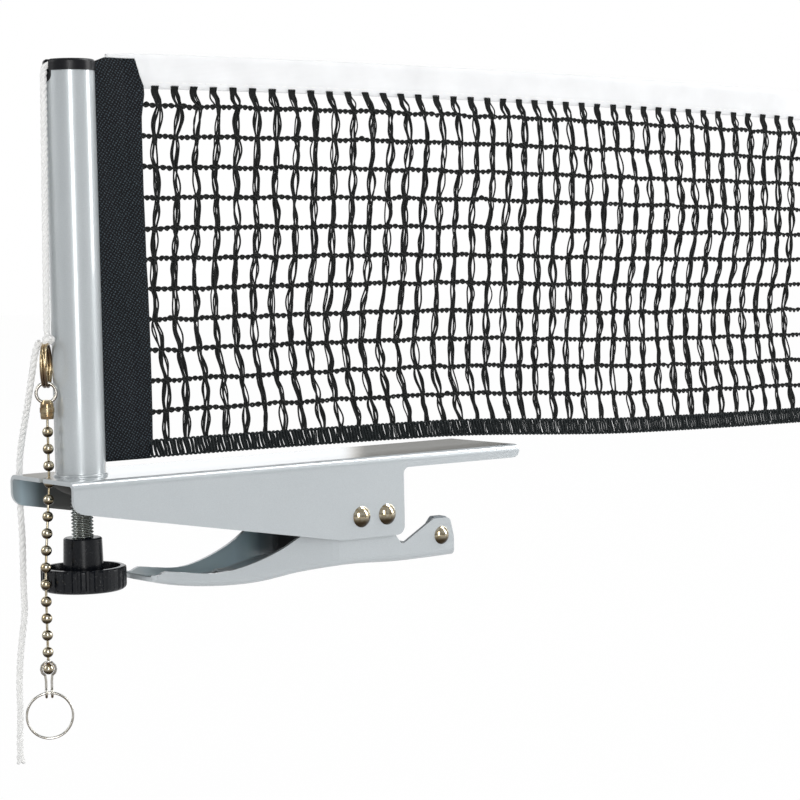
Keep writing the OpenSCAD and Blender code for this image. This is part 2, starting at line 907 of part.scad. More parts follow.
module stop_rivet() {
    rivet(stop_pos[0], stop_pos[1], rivet_d, rivet_head_d, bracket_w);
}

// Short rivet through one ear of the lower jaw and the pad's arm inside it.
module tip_rivet(s) {
    inner = lever_inner_w/2 - pad_side_gap - pad_arm_t;
    color(nickel) {
        translate([tip_x, s*(inner - seat_gap - 0.7), tip_z])
            rotate([-90*s, 0, 0]) {
                cylinder(h = lever_w/2 - inner + 1, r = tip_rivet_d/2, $fn = 48);
                cylinder(h = 0.7, r = tip_rivet_d/2 + 0.8, $fn = 48);
            }
        rivet_head(tip_x, lever_w/2, tip_z, tip_head_d, s);
    }
}

module tip_rivet_near() {
    tip_rivet(-1);
}

module tip_rivet_far() {
    tip_rivet(1);
}

bush_wall = 1.1;
bush_r = rivet_d/2 + run_gap + bush_wall;

module spring_bush() {
    color(zinc)
        difference() {
            pin_y(pivot_pos[0], pivot_pos[1], bush_r, lever_inner_w - 0.4);
            pin_y(pivot_pos[0], pivot_pos[1], rivet_d/2 + seat_gap, lever_w);
        }
}

coil_r = coil_inner_r + wire_d/2;
coil_steps = 8;
upper_leg_end = [-43, plate_under - wire_d/2 - 0.1];
lower_leg_end = [hook_x - 2, base_z(hook_x) + lever_t + wire_d/2 + 0.35];

// Centre line of the spring: upper leg, coils, lower leg.
function spring_path() =
    let (
        half = coils*coil_pitch/2,
        n = coils*coil_steps + coil_steps/2,
        // the coils start above the pivot and end below it
        wind = [
            for (i = [0:n])
                let (a = 90 - 360*i/coil_steps, y = half - 2*half*i/n)
                [pivot_pos[0] + coil_r*cos(a), y, pivot_pos[1] + coil_r*sin(a)]
        ],
        up = [
            [upper_leg_end[0], half, upper_leg_end[1]],
            [upper_leg_end[0] + 5, half, upper_leg_end[1]],
            [pivot_pos[0] - 9, half, pivot_pos[1] + coil_r + 4.4],
            [pivot_pos[0] - 3, half, pivot_pos[1] + coil_r + 0.6]
        ],
        down = [
            [pivot_pos[0] - 4, -half, pivot_pos[1] - coil_r - 0.7],
            [pivot_pos[0] - 12, -half, pivot_pos[1] - coil_r - 3.6],
            [-50, -1, base_z(-50) + lever_t + 2.4],
            [hook_x + hook_len + 3, 0, lower_leg_end[1] + 0.2],
            [lower_leg_end[0], 0, lower_leg_end[1]]
        ]
    )
    concat(up, wind, down);

// Least distance between stretches of the wire that are half a turn or more apart.
function spring_gap() =
    let (p = spring_path(), skip = coil_steps*5/8, n = len(p))
    min([for (i = [0:n - 1 - skip]) for (j = [i + skip:n - 1]) norm(p[i] - p[j])]) - wire_d;

echo(spring_least_gap = spring_gap());

module torsion_spring() {
    color(zinc)
        tube(spring_path(), wire_d, side = [0, 1, 0], n = 6);
}

// ---- jaw pads ----

pad_side_gap = 0.15;
pad_arm_t = 3.2;
lower_pad_low = -35.8 + lever_t + 0.1;

// U-shaped pad: an arm inside each ear of the lower jaw, joined along the web.
module lower_jaw_pad() {
    top = crest_z + lower_pad_rise;
    w = lever_inner_w - 2*pad_side_gap;
    color(rubber)
        difference() {
            across(w)
                polygon(concat(
                    [[12.8, lower_pad_low], [12.8, -25.5]],
                    corner([12.8, -25.5], [17.2, top], [20, top], 1.5, 5),
                    corner([18, top], [23.6, top], [nose_x - 0.6, -29], 2.4, 6),
                    [[nose_x - 0.6, lower_pad_low + 1.2], [nose_x - 1.8, lower_pad_low]]
                ));
            translate([0, pad_arm_t - w/2, lower_pad_low + 1])
                cube([big, w - 2*pad_arm_t, big]);
            pin_y(tip_x, tip_z, tip_rivet_d/2 + seat_gap, big);
            // clear of the lever's inner bends
            for (s = [-1, 1])
                edge_cut(s*(lever_inner_w/2 - pad_side_gap), lower_pad_low, 1);
        }
}

// Prism that chamfers a long edge lying along X.
module edge_cut(y, z, s) {
    translate([0, y, z])
        rotate([45, 0, 0])
            cube([big, s*sqrt(2), s*sqrt(2)], center = true);
}

module upper_jaw_pad() {
    w = bracket_w - 2*sheet_t - 1;
    color(rubber)
        difference() {
            translate([throat_r + 1, -w/2, 0])
                cube([jaw_len - throat_r - 2.5, w, jaw_pad_t - hair]);
            // clear of the bracket's inner bends
            for (s = [-1, 1])
                edge_cut(s*w/2, jaw_pad_t, 1.2);
            // grooves across the grip face
            for (i = [1:7])
                translate([throat_r + 1 + i*(jaw_len - throat_r - 2.5)/8, 0, 0])
                    rotate([0, 45, 0])
                        cube([0.8, big, 0.8], center = true);
        }
}

// ---- cord, rings and chain ----

knot_z = 54;
knot_x = chain_x + 0.7;
lock_drop = 0.2;
lock_z = plate_under - lock_drop;
chain_top_z = lock_z + balls_above*ball_pitch;

// Taut run of the cord: through the cap, over its edge and down the post.
cord_points = [
    [-117.8, 0, 149.9], [-122, 0, 149.9], [-127, 0, 149.9], [-131.5, 0, 149.9],
    [-134, 0, 150.5], [-136.2, 0, 150], [-137.2, 0, 147.8], [-137.4, 0, 143],
    [-137.5, 0, 138], [-137.8, 0, 120], [-138.2, 0, 100], [-138.6, 0, 80],
    [-138.9, 0, 64], [-139, 0, 56.6]
];

module tension_cord() {
    color(cord_white)
        tube(curve(cord_points, 3), cord_d);
}

// Knot round the split ring's top.
module cord_knot() {
    color(cord_white)
        difference() {
            for (s = [-1, 1])
                translate([knot_x - s*0.8, 0, knot_z + s*0.5])
                    sphere(1.9, $fn = 48);
            split_coils(split_wire + 0.2);
            // the tail comes out of the knot's side
            bar(tail_points[0]*1.1 - tail_points[1]*0.1, tail_points[1], cord_d/2 + 0.15, 48);
        }
}

// Loose end of the cord, behind the bracket's far flange and straight down.
tail_points = [
    [-141.3, 1.4, 53.6], [-142, 3.4, 49.5], [-141.7, 7, 41.5], [-140.8, 12, 32],
    [-139.8, 18, 21.3], [-138.9, 22.6, 13], [-138.4, 24.7, 5], [-138.3, 24.9, -7.6],
    [-137.9, 24.9, -19], [-138, 24.9, -35], [-137.9, 24.9, -45.7], [-139.1, 24.9, -54],
    [-140.4, 24.9, -64.5], [-140.9, 24.9, -73.7], [-140.9, 24.9, -83.3],
    [-141.4, 24.9, -92.4], [-141.3, 24.9, -100.6]
];

module cord_tail() {
    color(cord_white)
        tube(curve(tail_points, 3), cord_d, side = [1, 0, 0]);
}

echo(last_ball = last_ball, eye_z = last_ball[2] - eye_leg + 0.1, ring = pull_centre);
echo(cord_run = path_length(curve(cord_points, 3)), cord_tail = path_length(curve(tail_points, 3)));

// Rings hang square to each other, turned this far about the upright.
split_turn = -37;
face_turn = 64;
split_wire = 1.2;
split_z = knot_z - 1 - split_ring_d/2;

// Ring of wire lying in the upright plane whose normal is +X turned by turn.
module wire_ring(centre, d, wire, turn) {
    translate(centre)
        rotate([0, 0, turn])
            rotate([0, 90, 0])
                rotate_extrude($fn = 72)
                    translate([d/2 - wire/2, 0])
                        circle(wire/2, $fn = 24);
}

// Two coils of the split ring, side by side.
module split_coils(wire) {
    n = [cos(split_turn), sin(split_turn), 0];
    for (s = [-1, 1])
        wire_ring([chain_x + 0.1, 0, split_z] + n*s*split_wire*0.48, split_ring_d, wire,
            split_turn);
}

module split_ring() {
    color(brass)
        split_coils(split_wire);
}

link_wire = 1.2;
link_z = split_z - split_ring_d/2 - link_ring_d/2 + split_wire + link_wire + 0.1;
link_x = chain_x - 0.2;

module link_ring() {
    color(nickel)
        wire_ring([link_x, 0, link_z], link_ring_d, link_wire, face_turn);
}

clasp_d = 5.2;
clasp_h = 6.9;
clasp_top = link_z - link_ring_d/2 + link_wire + 0.5;

// Bell clasp: its eye holds the link and its mouth the chain's first ball.
module chain_clasp() {
    color(brass)
        difference() {
            translate([chain_x, 0, clasp_top - clasp_h])
                rotate_extrude($fn = 64)
                    polygon([
                        [0, 0], [clasp_d/2 - 0.4, 0], [clasp_d/2 - 0.2, 1], [clasp_d/2 - 0.2, 2.2],
                        [clasp_d/2, 2.4], [clasp_d/2, 4], [clasp_d/2 - 0.2, 4.2],
                        [clasp_d/2 - 0.25, 5.4], [clasp_d/2 - 0.9, clasp_h - 0.2], [0, clasp_h]
                    ]);
            wire_ring([link_x, 0, link_z], link_ring_d, link_wire + 0.2, face_turn);
            translate([chain_x, 0, clasp_top - clasp_h - 1])
                cylinder(h = 3, r = 0.8, $fn = 32);
        }
}

// Centre line of the chain below the locked ball: it hangs over the knob's rim.
chain_points = [
    [chain_x, 0, lock_z], [-140.6, -0.5, -3.2], [-141.7, -1.4, -10], [-143, -2.5, -18.5],
    [-144.1, -3.5, -27], [-144.4, -3.7, -36], [-144.3, -3.6, -48], [-144.2, -3.5, -60],
    [-144.2, -3.5, -72]
];

function chain_ball(i) =
    i <= 0 ? [chain_x, 0, lock_z - i*ball_pitch] : point_at(chain_points, i*ball_pitch);

pin_link_d = 0.9;

// Hollow balls joined by short dumbbell pins.
module ball_chain() {
    color(nickel) {
        for (i = [-balls_above:balls_below])
            translate(chain_ball(i))
                sphere(ball_d/2, $fn = 32);
        for (i = [-balls_above:balls_below - 1])
            bar(chain_ball(i), chain_ball(i + 1), pin_link_d/2);
        bar([chain_x, 0, clasp_top - clasp_h + 1.4], chain_ball(-balls_above), pin_link_d/2);
    }
}

eye_wire = 0.9;
last_ball = chain_ball(balls_below);
eye_r = ball_d/2 + 0.65;
eye_leg = 8.6;
eye_side = [cos(face_turn - 90), sin(face_turn - 90), 0];

// Wire loop round the last ball, its two legs closed round the pull ring.
function eye_path() =
    let (
        side = eye_side,
        gap = 1,
        arc = [
            for (i = [0:10])
                let (a = -62 + 304*i/10)
                last_ball + eye_r*(side*cos(a) + [0, 0, 1]*sin(a))
        ],
        leg = function (s) [
            last_ball + side*s*gap + [0, 0, -4.2],
            last_ball + side*s*gap + [0, 0, -eye_leg + 1.6]
        ]
    )
    concat([leg(1)[1], leg(1)[0]], arc, [leg(-1)[0], leg(-1)[1]]);

module wire_eye() {
    up = (chain_ball(balls_below - 1) - last_ball)/ball_pitch;
    color(nickel)
        difference() {
            union() {
                tube(eye_path(), eye_wire, side = [cos(face_turn), sin(face_turn), 0], n = 8);
                for (s = [-1, 1])
                    translate(last_ball + eye_side*s + [0, 0, -eye_leg + 0.1])
                        rotate([0, 0, face_turn - 90])
                            rotate([0, 90, 0])
                                rotate_extrude($fn = 48)
                                    translate([1.5, 0])
                                        circle(eye_wire/2, $fn = 16);
                // bead that the chain's last pin runs through
                translate(last_ball + [0, 0, eye_r])
                    sphere(0.95, $fn = 32);
            }
            translate(last_ball)
                sphere(ball_d/2 + 0.05, $fn = 32);
            bar(last_ball, last_ball + up*4.6, pin_link_d/2 + 0.05, 24);
        }
}

pull_wire = 0.8;
pull_centre = [last_ball[0], last_ball[1], last_ball[2] - eye_leg + 0.1 - pull_ring_d/2 + pull_wire/2];

module pull_ring() {
    n = [cos(face_turn), sin(face_turn), 0];
    color(nickel)
        for (s = [-1, 1])
            wire_ring(pull_centre + n*s*pull_wire*0.45, pull_ring_d, pull_wire, face_turn);
}

bracket();
post_tube();
post_cap();
domed_nut();
height_screw();
knob();
carrier_foot();
net_rod();
end_sleeve();
net_mesh();
top_band();
bottom_edge();
far_sleeve();
lever();
pivot_rivet();
stop_rivet();
tip_rivet_near();
tip_rivet_far();
spring_bush();
torsion_spring();
lower_jaw_pad();
upper_jaw_pad();
tension_cord();
cord_knot();
cord_tail();
split_ring();
link_ring();
chain_clasp();
ball_chain();
wire_eye();
pull_ring();
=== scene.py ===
"""Clip-on table tennis net post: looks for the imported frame.

Lengths are in millimetres.
"""

import json
import math

import bpy
import numpy as np
from mathutils import Matrix, Vector

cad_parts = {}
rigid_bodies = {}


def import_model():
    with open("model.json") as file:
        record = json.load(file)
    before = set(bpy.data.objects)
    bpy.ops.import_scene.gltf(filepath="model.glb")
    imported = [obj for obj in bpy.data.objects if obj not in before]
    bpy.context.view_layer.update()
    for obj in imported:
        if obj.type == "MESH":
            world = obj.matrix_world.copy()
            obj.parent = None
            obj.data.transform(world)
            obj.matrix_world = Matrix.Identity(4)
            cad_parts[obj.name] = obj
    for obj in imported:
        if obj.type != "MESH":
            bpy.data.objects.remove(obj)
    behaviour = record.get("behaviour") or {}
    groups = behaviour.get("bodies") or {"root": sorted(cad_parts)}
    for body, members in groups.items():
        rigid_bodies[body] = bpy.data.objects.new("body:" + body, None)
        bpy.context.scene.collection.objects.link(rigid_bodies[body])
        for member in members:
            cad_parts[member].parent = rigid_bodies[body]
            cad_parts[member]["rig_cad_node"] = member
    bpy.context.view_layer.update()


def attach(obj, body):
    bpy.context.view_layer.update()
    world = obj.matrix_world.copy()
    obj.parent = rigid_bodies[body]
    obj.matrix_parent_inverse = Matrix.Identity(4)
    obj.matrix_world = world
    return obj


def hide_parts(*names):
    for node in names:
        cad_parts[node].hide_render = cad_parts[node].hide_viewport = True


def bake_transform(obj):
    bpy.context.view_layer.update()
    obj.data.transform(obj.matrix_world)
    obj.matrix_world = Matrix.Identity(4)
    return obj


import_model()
MM = 0.001
TINY = 1e-9

# ---- camera: solved from the photograph ----

CAMERA_AT = (-0.546477, -0.746704, 0.085603)
CAMERA_RIGHT = (0.797666, -0.602757, -0.020310)
CAMERA_UP = (0.055732, 0.040139, 0.997639)
CAMERA_BACK = (-0.600518, -0.796915, 0.065610)
SENSOR_WIDTH, LENS = 36.0, 107.5  # Blender takes these two in millimetres
NEAREST, FARTHEST = 0.02, 30.0


def new_object(name, data):
    ob = bpy.data.objects.new(name, data)
    bpy.context.scene.collection.objects.link(ob)
    return ob


def make_camera():
    data = bpy.data.cameras.new("camera")
    data.sensor_width, data.lens = SENSOR_WIDTH, LENS
    data.clip_start, data.clip_end = NEAREST, FARTHEST
    cam = new_object("camera", data)
    turn = Matrix((CAMERA_RIGHT, CAMERA_UP, CAMERA_BACK)).transposed().to_4x4()
    cam.matrix_world = Matrix.Translation(CAMERA_AT) @ turn
    bpy.context.scene.camera = cam


# ---- mesh helpers ----


def new_mesh(name, verts, faces, mat):
    """One smooth-shaded object from points in millimetres."""
    me = bpy.data.meshes.new(name)
    me.from_pydata((np.asarray(verts, float) * MM).tolist(), [], [list(map(int, f)) for f in faces])
    me.validate()
    me.polygons.foreach_set("use_smooth", [True] * len(me.polygons))
    me.materials.append(mat)
    return new_object(name, me)


def quads(rows, cols, closed):
    """Faces between rows of points; closed joins the last column to the first."""
    faces = []
    for i in range(rows - 1):
        for j in range(cols if closed else cols - 1):
            k = (j + 1) % cols
            faces.append((i * cols + j, i * cols + k, (i + 1) * cols + k, (i + 1) * cols + j))
    return faces


def frames_along(path, start):
    """Two unit vectors square to the path at each point, without twist."""
    ahead = np.gradient(path, axis=0)
    ahead /= np.maximum(np.linalg.norm(ahead, axis=1, keepdims=True), TINY)
    side = np.array(start, float)
    a, b = [], []
    for t in ahead:
        side = side - t * side.dot(t)
        side /= max(np.linalg.norm(side), TINY)
        a.append(side)
        b.append(np.cross(t, side))
    return np.array(a), np.array(b)


class Build:
    """Gathers tubes and grids into one mesh."""

    def __init__(self):
        self.verts, self.faces, self.count = [], [], 0

    def add(self, verts, faces):
        verts = np.asarray(verts, float).reshape(-1, 3)
        self.verts.append(verts)
        self.faces += [tuple(i + self.count for i in f) for f in faces]
        self.count += len(verts)

    def tube(self, path, radius, sides=6, start=(0.3, 0.9, 0.2), caps=True):
        """A round tube along path; radius is one number or one for each point."""
        path = np.asarray(path, float)
        n = len(path)
        radii = np.broadcast_to(np.asarray(radius, float), (n,))[:, None, None]
        a, b = frames_along(path, start)
        turn = (np.arange(sides) * 2 * math.pi / sides)[:, None]
        rings = path[:, None] + radii * (np.cos(turn) * a[:, None] + np.sin(turn) * b[:, None])
        faces = quads(n, sides, closed=True)
        if caps:
            faces.append(tuple(range(sides - 1, -1, -1)))
            faces.append(tuple((n - 1) * sides + j for j in range(sides)))
        self.add(rings, faces)

    def grid(self, points, closed=False):
        """A surface from a (rows, columns, 3) array."""
        points = np.asarray(points, float)
        self.add(points, quads(*points.shape[:2], closed))

    def object(self, name, mat):
        return new_mesh(name, np.vstack(self.verts), self.faces, mat)


def catmull(points, n):
    """Smooth curve through points, n steps between each pair."""
    p = np.asarray(points, float)
    last = len(p) - 1
    out = []
    for i in range(last):
        a, b, c, d = p[max(i - 1, 0)], p[i], p[i + 1], p[min(i + 2, last)]
        for k in range(n):
            t = k / n
            bend = (2 * a - 5 * b + 4 * c - d) * t * t
            out.append(0.5 * (2 * b + (c - a) * t + bend + (3 * b - a - 3 * c + d) * t**3))
    out.append(p[last])
    return np.array(out)


def even(path, step):
    """The same line with points about a step apart, and its length."""
    path = np.asarray(path, float)
    run = np.concatenate([[0], np.cumsum(np.linalg.norm(np.diff(path, axis=0), axis=1))])
    n = max(2, int(round(run[-1] / step)) + 1)
    at = np.linspace(0, run[-1], n)
    return np.stack([np.interp(at, run, path[:, k]) for k in range(3)], axis=1), run[-1]


# ---- materials ----

SHADE_TOP = 3.6  # the channels' faces get painted shade below this height
TWILL_PITCH, TAPE_PITCH = 0.98, 0.45


class Shader:
    """Short calls for the nodes of one material or world. Inputs are sockets or plain values."""

    def __init__(self, tree):
        self.nodes, self.links = tree.nodes, tree.links

    def put(self, socket, value):
        """Links a socket or sets its value. A colour comes without its alpha."""
        if isinstance(value, bpy.types.NodeSocket):
            self.links.new(value, socket)
        elif socket.type == "RGBA":
            socket.default_value = (*value, 1)
        else:
            socket.default_value = value

    def node(self, kind, inputs=(), **settings):
        """A new node, with its inputs by name or number."""
        made = self.nodes.new("ShaderNode" + kind)
        for key, value in settings.items():
            setattr(made, key, value)
        for key, value in dict(inputs).items():
            self.put(made.inputs[key], value)
        return made

    def surface(self, inputs):
        """Sets inputs of the material's Principled node."""
        for key, value in inputs.items():
            self.put(self.nodes["Principled BSDF"].inputs[key], value)

    def calc(self, kind, *values):
        return self.node("Math", enumerate(values), operation=kind).outputs[0]

    def span(self, value, to_low, to_high, low=0.0, high=1.0, kind="LINEAR"):
        """Maps low..high to to_low..to_high, and holds the ends."""
        ends = {"From Min": low, "From Max": high, "To Min": to_low, "To Max": to_high}
        made = self.node("MapRange", {"Value": value, **ends}, interpolation_type=kind)
        return made.outputs["Result"]

    def ramp(self, value, stops):
        """Colours between stops, which rise from first to last."""
        made = self.node("ValToRGB", {"Fac": value})
        elements = made.color_ramp.elements
        for element, (at, colour) in ((elements[0], stops[0]), (elements[1], stops[-1])):
            element.position, element.color = at, (*colour, 1)
        for at, colour in stops[1:-1]:
            elements.new(at).color = (*colour, 1)
        return made.outputs["Color"]

    def mix(self, share, first, second):
        """Blend of two colours."""
        return self.node("Mix", {0: share, 6: first, 7: second}, data_type="RGBA").outputs[2]

    def place(self):
        return self.node("TexCoord").outputs["Object"]

    def normal(self):
        return self.node("NewGeometry").outputs["Normal"]

    def split(self, vector):
        return self.node("SeparateXYZ", {"Vector": vector}).outputs

    def noise(self, scale, detail=3.0, rough=0.5):
        """Noise in object space; scale is in features a metre."""
        inputs = {"Vector": self.place(), "Scale": scale, "Detail": detail, "Roughness": rough}
        return self.node("TexNoise", inputs).outputs["Fac"]

    def bands(self, place, axis, pitch, distortion, more=()):
        """Stripes across an axis, a pitch apart."""
        scale = math.pi / 10 / (pitch * MM)
        inputs = {"Vector": place, "Scale": scale, "Distortion": distortion, **dict(more)}
        made = self.node("TexWave", inputs, wave_type="BANDS", bands_direction=axis)
        return made.outputs["Fac"]

    def bump(self, height, strength, distance):
        """A normal; distance is in metres."""
        inputs = {"Height": height, "Strength": strength, "Distance": distance}
        return self.node("Bump", inputs).outputs["Normal"]


def new_material(name):
    mat = bpy.data.materials.new(name)
    mat.use_nodes = True
    return mat, Shader(mat.node_tree)


def darker(colour, share):
    return tuple(c * share for c in colour)


def paint_shade_inside(sh, colour, inside):
    """Painted shade and light: colour by X low on the faces that look towards a channel's middle,
    dark where little light comes and lighter towards the open ends.

    inside holds the range of X, the colours along it and, where the channel's floor gets painted
    shade too, half the floor's width and the share of the colour that is left on it.
    """
    normal, place = sh.split(sh.normal()), sh.split(sh.place())
    inward = sh.calc("MULTIPLY", normal["Y"], sh.calc("SIGN", place["Y"]))
    shaded = sh.calc("MULTIPLY", inward, sh.calc("LESS_THAN", place["Z"], SHADE_TOP * MM))
    along = sh.span(place["X"], 0.0, 1.0, *(x * MM for x in inside["x"]))
    shade = sh.ramp(along, inside["stops"])
    if "floor" in inside:
        # painted shade on the floor too, which looks up between the flanges
        half, least = inside["floor"]
        within = sh.calc("LESS_THAN", sh.calc("ABSOLUTE", place["Y"]), half * MM)
        floor = sh.calc("MULTIPLY", normal["Z"], within)
        shaded = sh.calc("SUBTRACT", shaded, floor)
        fall = sh.span(floor, 1.0, least, 0.1, 0.8)
        scaled = sh.node("VectorMath", {0: shade, "Scale": fall}, operation="SCALE")
        shade = scaled.outputs["Vector"]
    painted_shade_mask = sh.span(shaded, 0.0, 1.0, -0.5, -0.9)
    return painted_shade_mask, sh.mix(painted_shade_mask, colour, shade)


def powder_coat(name, light, dark, inside=None):
    """Silver-grey paint: fine metal flake under a hard clear gloss. With inside, painted shade
    darkens the channel, and its metal and gloss fade there so it mirrors nothing.
    """
    mat, sh = new_material(name)
    flake = sh.noise(4200, 1.0)
    cloud = sh.noise(26, 2.0)
    blotch = sh.calc("MULTIPLY_ADD", flake, 0.7, sh.calc("MULTIPLY", cloud, 0.3))
    colour = sh.ramp(blotch, [(0.3, dark), (0.7, light)])
    metallic, gloss = 0.3, 1.0
    if inside:
        # painted shade in the channel; metal and gloss are turned down under it
        painted_shade_mask, colour = paint_shade_inside(sh, colour, inside)
        metallic, gloss = sh.span(painted_shade_mask, metallic, 0.0), sh.span(painted_shade_mask, gloss, 0.25)
    sh.surface({
        "Base Color": colour,
        "Metallic": metallic,
        "Roughness": sh.span(cloud, 0.3, 0.36),
        "Coat Weight": gloss,
        "Coat IOR": 1.6,
        "Coat Roughness": 0.035,
        "Normal": sh.bump(sh.noise(420, 1.0, 0.4), 0.05, 0.00005),
    })  # fmt: skip
    return mat


def moulded(name, colour, rough, grain=2600, bump=0.12, shine=0.5, dust=0.0):
    """Moulded plastic or rubber with a fine grain; dust is how much of its specks shows."""
    mat, sh = new_material(name)
    noise = sh.noise(grain, 4.0, 0.6)
    base = sh.ramp(noise, [(0.35, darker(colour, 0.75)), (0.7, colour)])
    if dust:
        specks = sh.ramp(sh.noise(1300, 2.0, 0.7), [(0.62, (0, 0, 0)), (0.74, (dust, dust, dust))])
        base = sh.mix(specks, base, (0.36, 0.36, 0.33))
    sh.surface({
        "Base Color": base,
        "Roughness": sh.span(noise, rough - 0.06, rough + 0.08),
        "Specular IOR Level": shine,
        "Normal": sh.bump(noise, bump, 0.0001),
    })  # fmt: skip
    return mat


def metal(name, colour, tint, rough=0.12, scale=700, bump=0.03, painted_underside=(0.12, 0.08, 0.05)):
    """Plated metal: patchy tint and fine wear. Faces that look down get painted shade and
    reflection, a dull dark brown.
    """
    mat, sh = new_material(name)
    noise = sh.noise(scale, 4.0, 0.55)
    # painted shade and reflection: the colour turns dark brown as the face turns down
    up = sh.span(sh.split(sh.normal())["Z"], 0.0, 1.0, -0.5, 0.4, kind="SMOOTHSTEP")
    sh.surface({
        "Base Color": sh.mix(up, painted_underside, sh.ramp(noise, [(0.35, tint), (0.62, colour)])),
        "Metallic": 1.0,
        "Roughness": sh.span(noise, rough * 0.7, rough * 1.5),
        "Normal": sh.bump(noise, bump, 0.0001),
    })  # fmt: skip
    return mat


def yarn(name, colour, painted_glint, rough, scale, sheen):
    """Thread: a fine fibrous noise, with painted glints: the colour is lighter on its crests."""
    mat, sh = new_material(name)
    noise = sh.noise(scale, 3.0, 0.65)
    sh.surface({
        "Base Color": sh.ramp(noise, [(0.4, colour), (0.75, painted_glint)]),
        "Roughness": rough,
        "Specular IOR Level": 0.3,
        "Sheen Weight": sheen,
        "Sheen Roughness": 0.4,
        "Normal": sh.bump(noise, 0.4, 0.00015),
    })  # fmt: skip
    return mat


def twill(name, dark, light):
    """Black cloth: short floats of thread where two slanting sets of ribs meet."""
    mat, sh = new_material(name)
    ribs = []
    for degrees, pitch in ((58, TWILL_PITCH), (-34, TWILL_PITCH * 1.15)):
        turn = (0, math.radians(degrees), 0)
        turned = sh.node("Mapping", {"Vector": sh.place(), "Rotation": turn}).outputs["Vector"]
        ribs.append(sh.bands(turned, "X", pitch, 3.8, {"Detail": 3.0, "Detail Scale": 1.9}))
    fibre = sh.noise(7000, 3.0, 0.6)
    height = sh.calc("MULTIPLY_ADD", fibre, 0.2, sh.calc("MULTIPLY", *ribs))
    sh.surface({
        "Base Color": sh.ramp(height, [(0.35, dark), (1.0, light)]),
        "Roughness": 0.75,
        "Specular IOR Level": 0.2,
        "Sheen Weight": 0.04,
        "Sheen Roughness": 0.35,
        "Normal": sh.bump(height, 0.5, 0.0003),
    })  # fmt: skip
    return mat


def tape(name, colour):
    """Plain-woven tape: fine warp and weft."""
    mat, sh = new_material(name)
    weave = sh.calc("ADD", *(sh.bands(sh.place(), axis, TAPE_PITCH, 0.6) for axis in "XZ"))
    sh.surface({
        "Base Color": sh.ramp(sh.noise(60), [(0.3, darker(colour, 0.93)), (0.65, colour)]),
        "Roughness": 0.85,
        "Sheen Weight": 0.2,
        "Normal": sh.bump(weave, 0.25, 0.0001),
    })  # fmt: skip
    return mat


COAT_LIGHT, COAT_DARK = (0.555, 0.594, 0.613), (0.486, 0.522, 0.541)
COAT = powder_coat("silver_powder_coat", (0.575, 0.61, 0.625), (0.50, 0.535, 0.55))
# painted shade in the bracket's channel, darkening from its open end inwards
BRACKET_COAT = powder_coat(
    "silver_coat_bracket_painted_shade", COAT_LIGHT, COAT_DARK,
    inside={"x": (-143, -113), "stops": [
        (0.0, (0.30, 0.345, 0.365)), (0.12, (0.40, 0.50, 0.55)), (0.24, (0.29, 0.36, 0.395)),
        (0.36, (0.10, 0.128, 0.137)), (0.48, (0.075, 0.079, 0.076)), (1.0, (0.088, 0.087, 0.08)),
    ]},
)  # fmt: skip
# painted shade in the lever's channel and on its floor, and painted light near the handle's end
LEVER_COAT = powder_coat(
    "silver_coat_lever_painted_shade", COAT_LIGHT, COAT_DARK,
    inside={"x": (-100, -30), "floor": (8.6, 0.4), "stops": [
        (0.0, (0.74, 0.80, 0.82)), (0.07, (0.62, 0.71, 0.74)), (0.24, (0.40, 0.49, 0.52)),
        (0.55, (0.50, 0.64, 0.69)), (0.68, (0.50, 0.65, 0.72)), (0.78, (0.34, 0.47, 0.52)),
        (0.87, (0.085, 0.135, 0.158)), (1.0, (0.008, 0.011, 0.014)),
    ]},
)  # fmt: skip
# painted shade: the nut is painted steel, given a dark colour and little shine for the shade it
# sits in under the plate
NUT_PAINTED_SHADE = moulded("nut_painted_shade", (0.06, 0.058, 0.053), 0.5, 900, 0.1, shine=0.1)
BLACK = moulded("moulded_black", (0.008, 0.0085, 0.0105), 0.3, shine=0.3)
KNOB = moulded("knob_black", (0.0045, 0.0058, 0.0085), 0.2, 2600, 0.06, shine=0.3, dust=0.22)
NYLON = moulded("black_nylon", (0.02, 0.02, 0.02), 0.5)
RUBBER = moulded("grip_rubber", (0.03, 0.03, 0.03), 0.75, 1200, 0.3)
LINER = moulded("grey_liner", (0.36, 0.40, 0.43), 0.45, 1800, 0.1)
# the last colour given to NICKEL and ZINC is their painted shade and reflection on faces that look
# down
NICKEL = metal(
    "nickel_plate", (0.90, 0.83, 0.66), (0.58, 0.46, 0.27), 0.08, 800, 0.03, (0.05, 0.035, 0.02)
)
BRIGHT = metal("bright_wire", (0.90, 0.89, 0.85), (0.72, 0.69, 0.6), 0.12)
BRASS = metal("worn_brass", (0.74, 0.62, 0.40), (0.40, 0.26, 0.12), 0.16, 420)
ZINC = metal(
    "zinc_thread", (0.90, 0.97, 0.96), (0.55, 0.57, 0.52), 0.24, 900, 0.02, (0.07, 0.07, 0.06)
)
WIRE = metal("spring_wire", (0.42, 0.42, 0.43), (0.3, 0.29, 0.28), 0.3)
TWILL = twill("black_twill", (0.0025, 0.003, 0.0045), (0.048, 0.068, 0.082))
THREAD = yarn("black_thread", (0.003, 0.003, 0.003), (0.02, 0.024, 0.023), 0.75, 7000, 0.04)
EDGING = yarn(
    "black_edging_yarn", (0.0035, 0.0045, 0.005), (0.028, 0.04, 0.043), 0.7, 5200, 0.05
)
CORD = yarn("white_cord_yarn", (0.955, 0.95, 0.93), (0.99, 0.985, 0.975), 0.8, 6000, 0.25)
TAPE = tape("white_tape", (0.925, 0.93, 0.936))

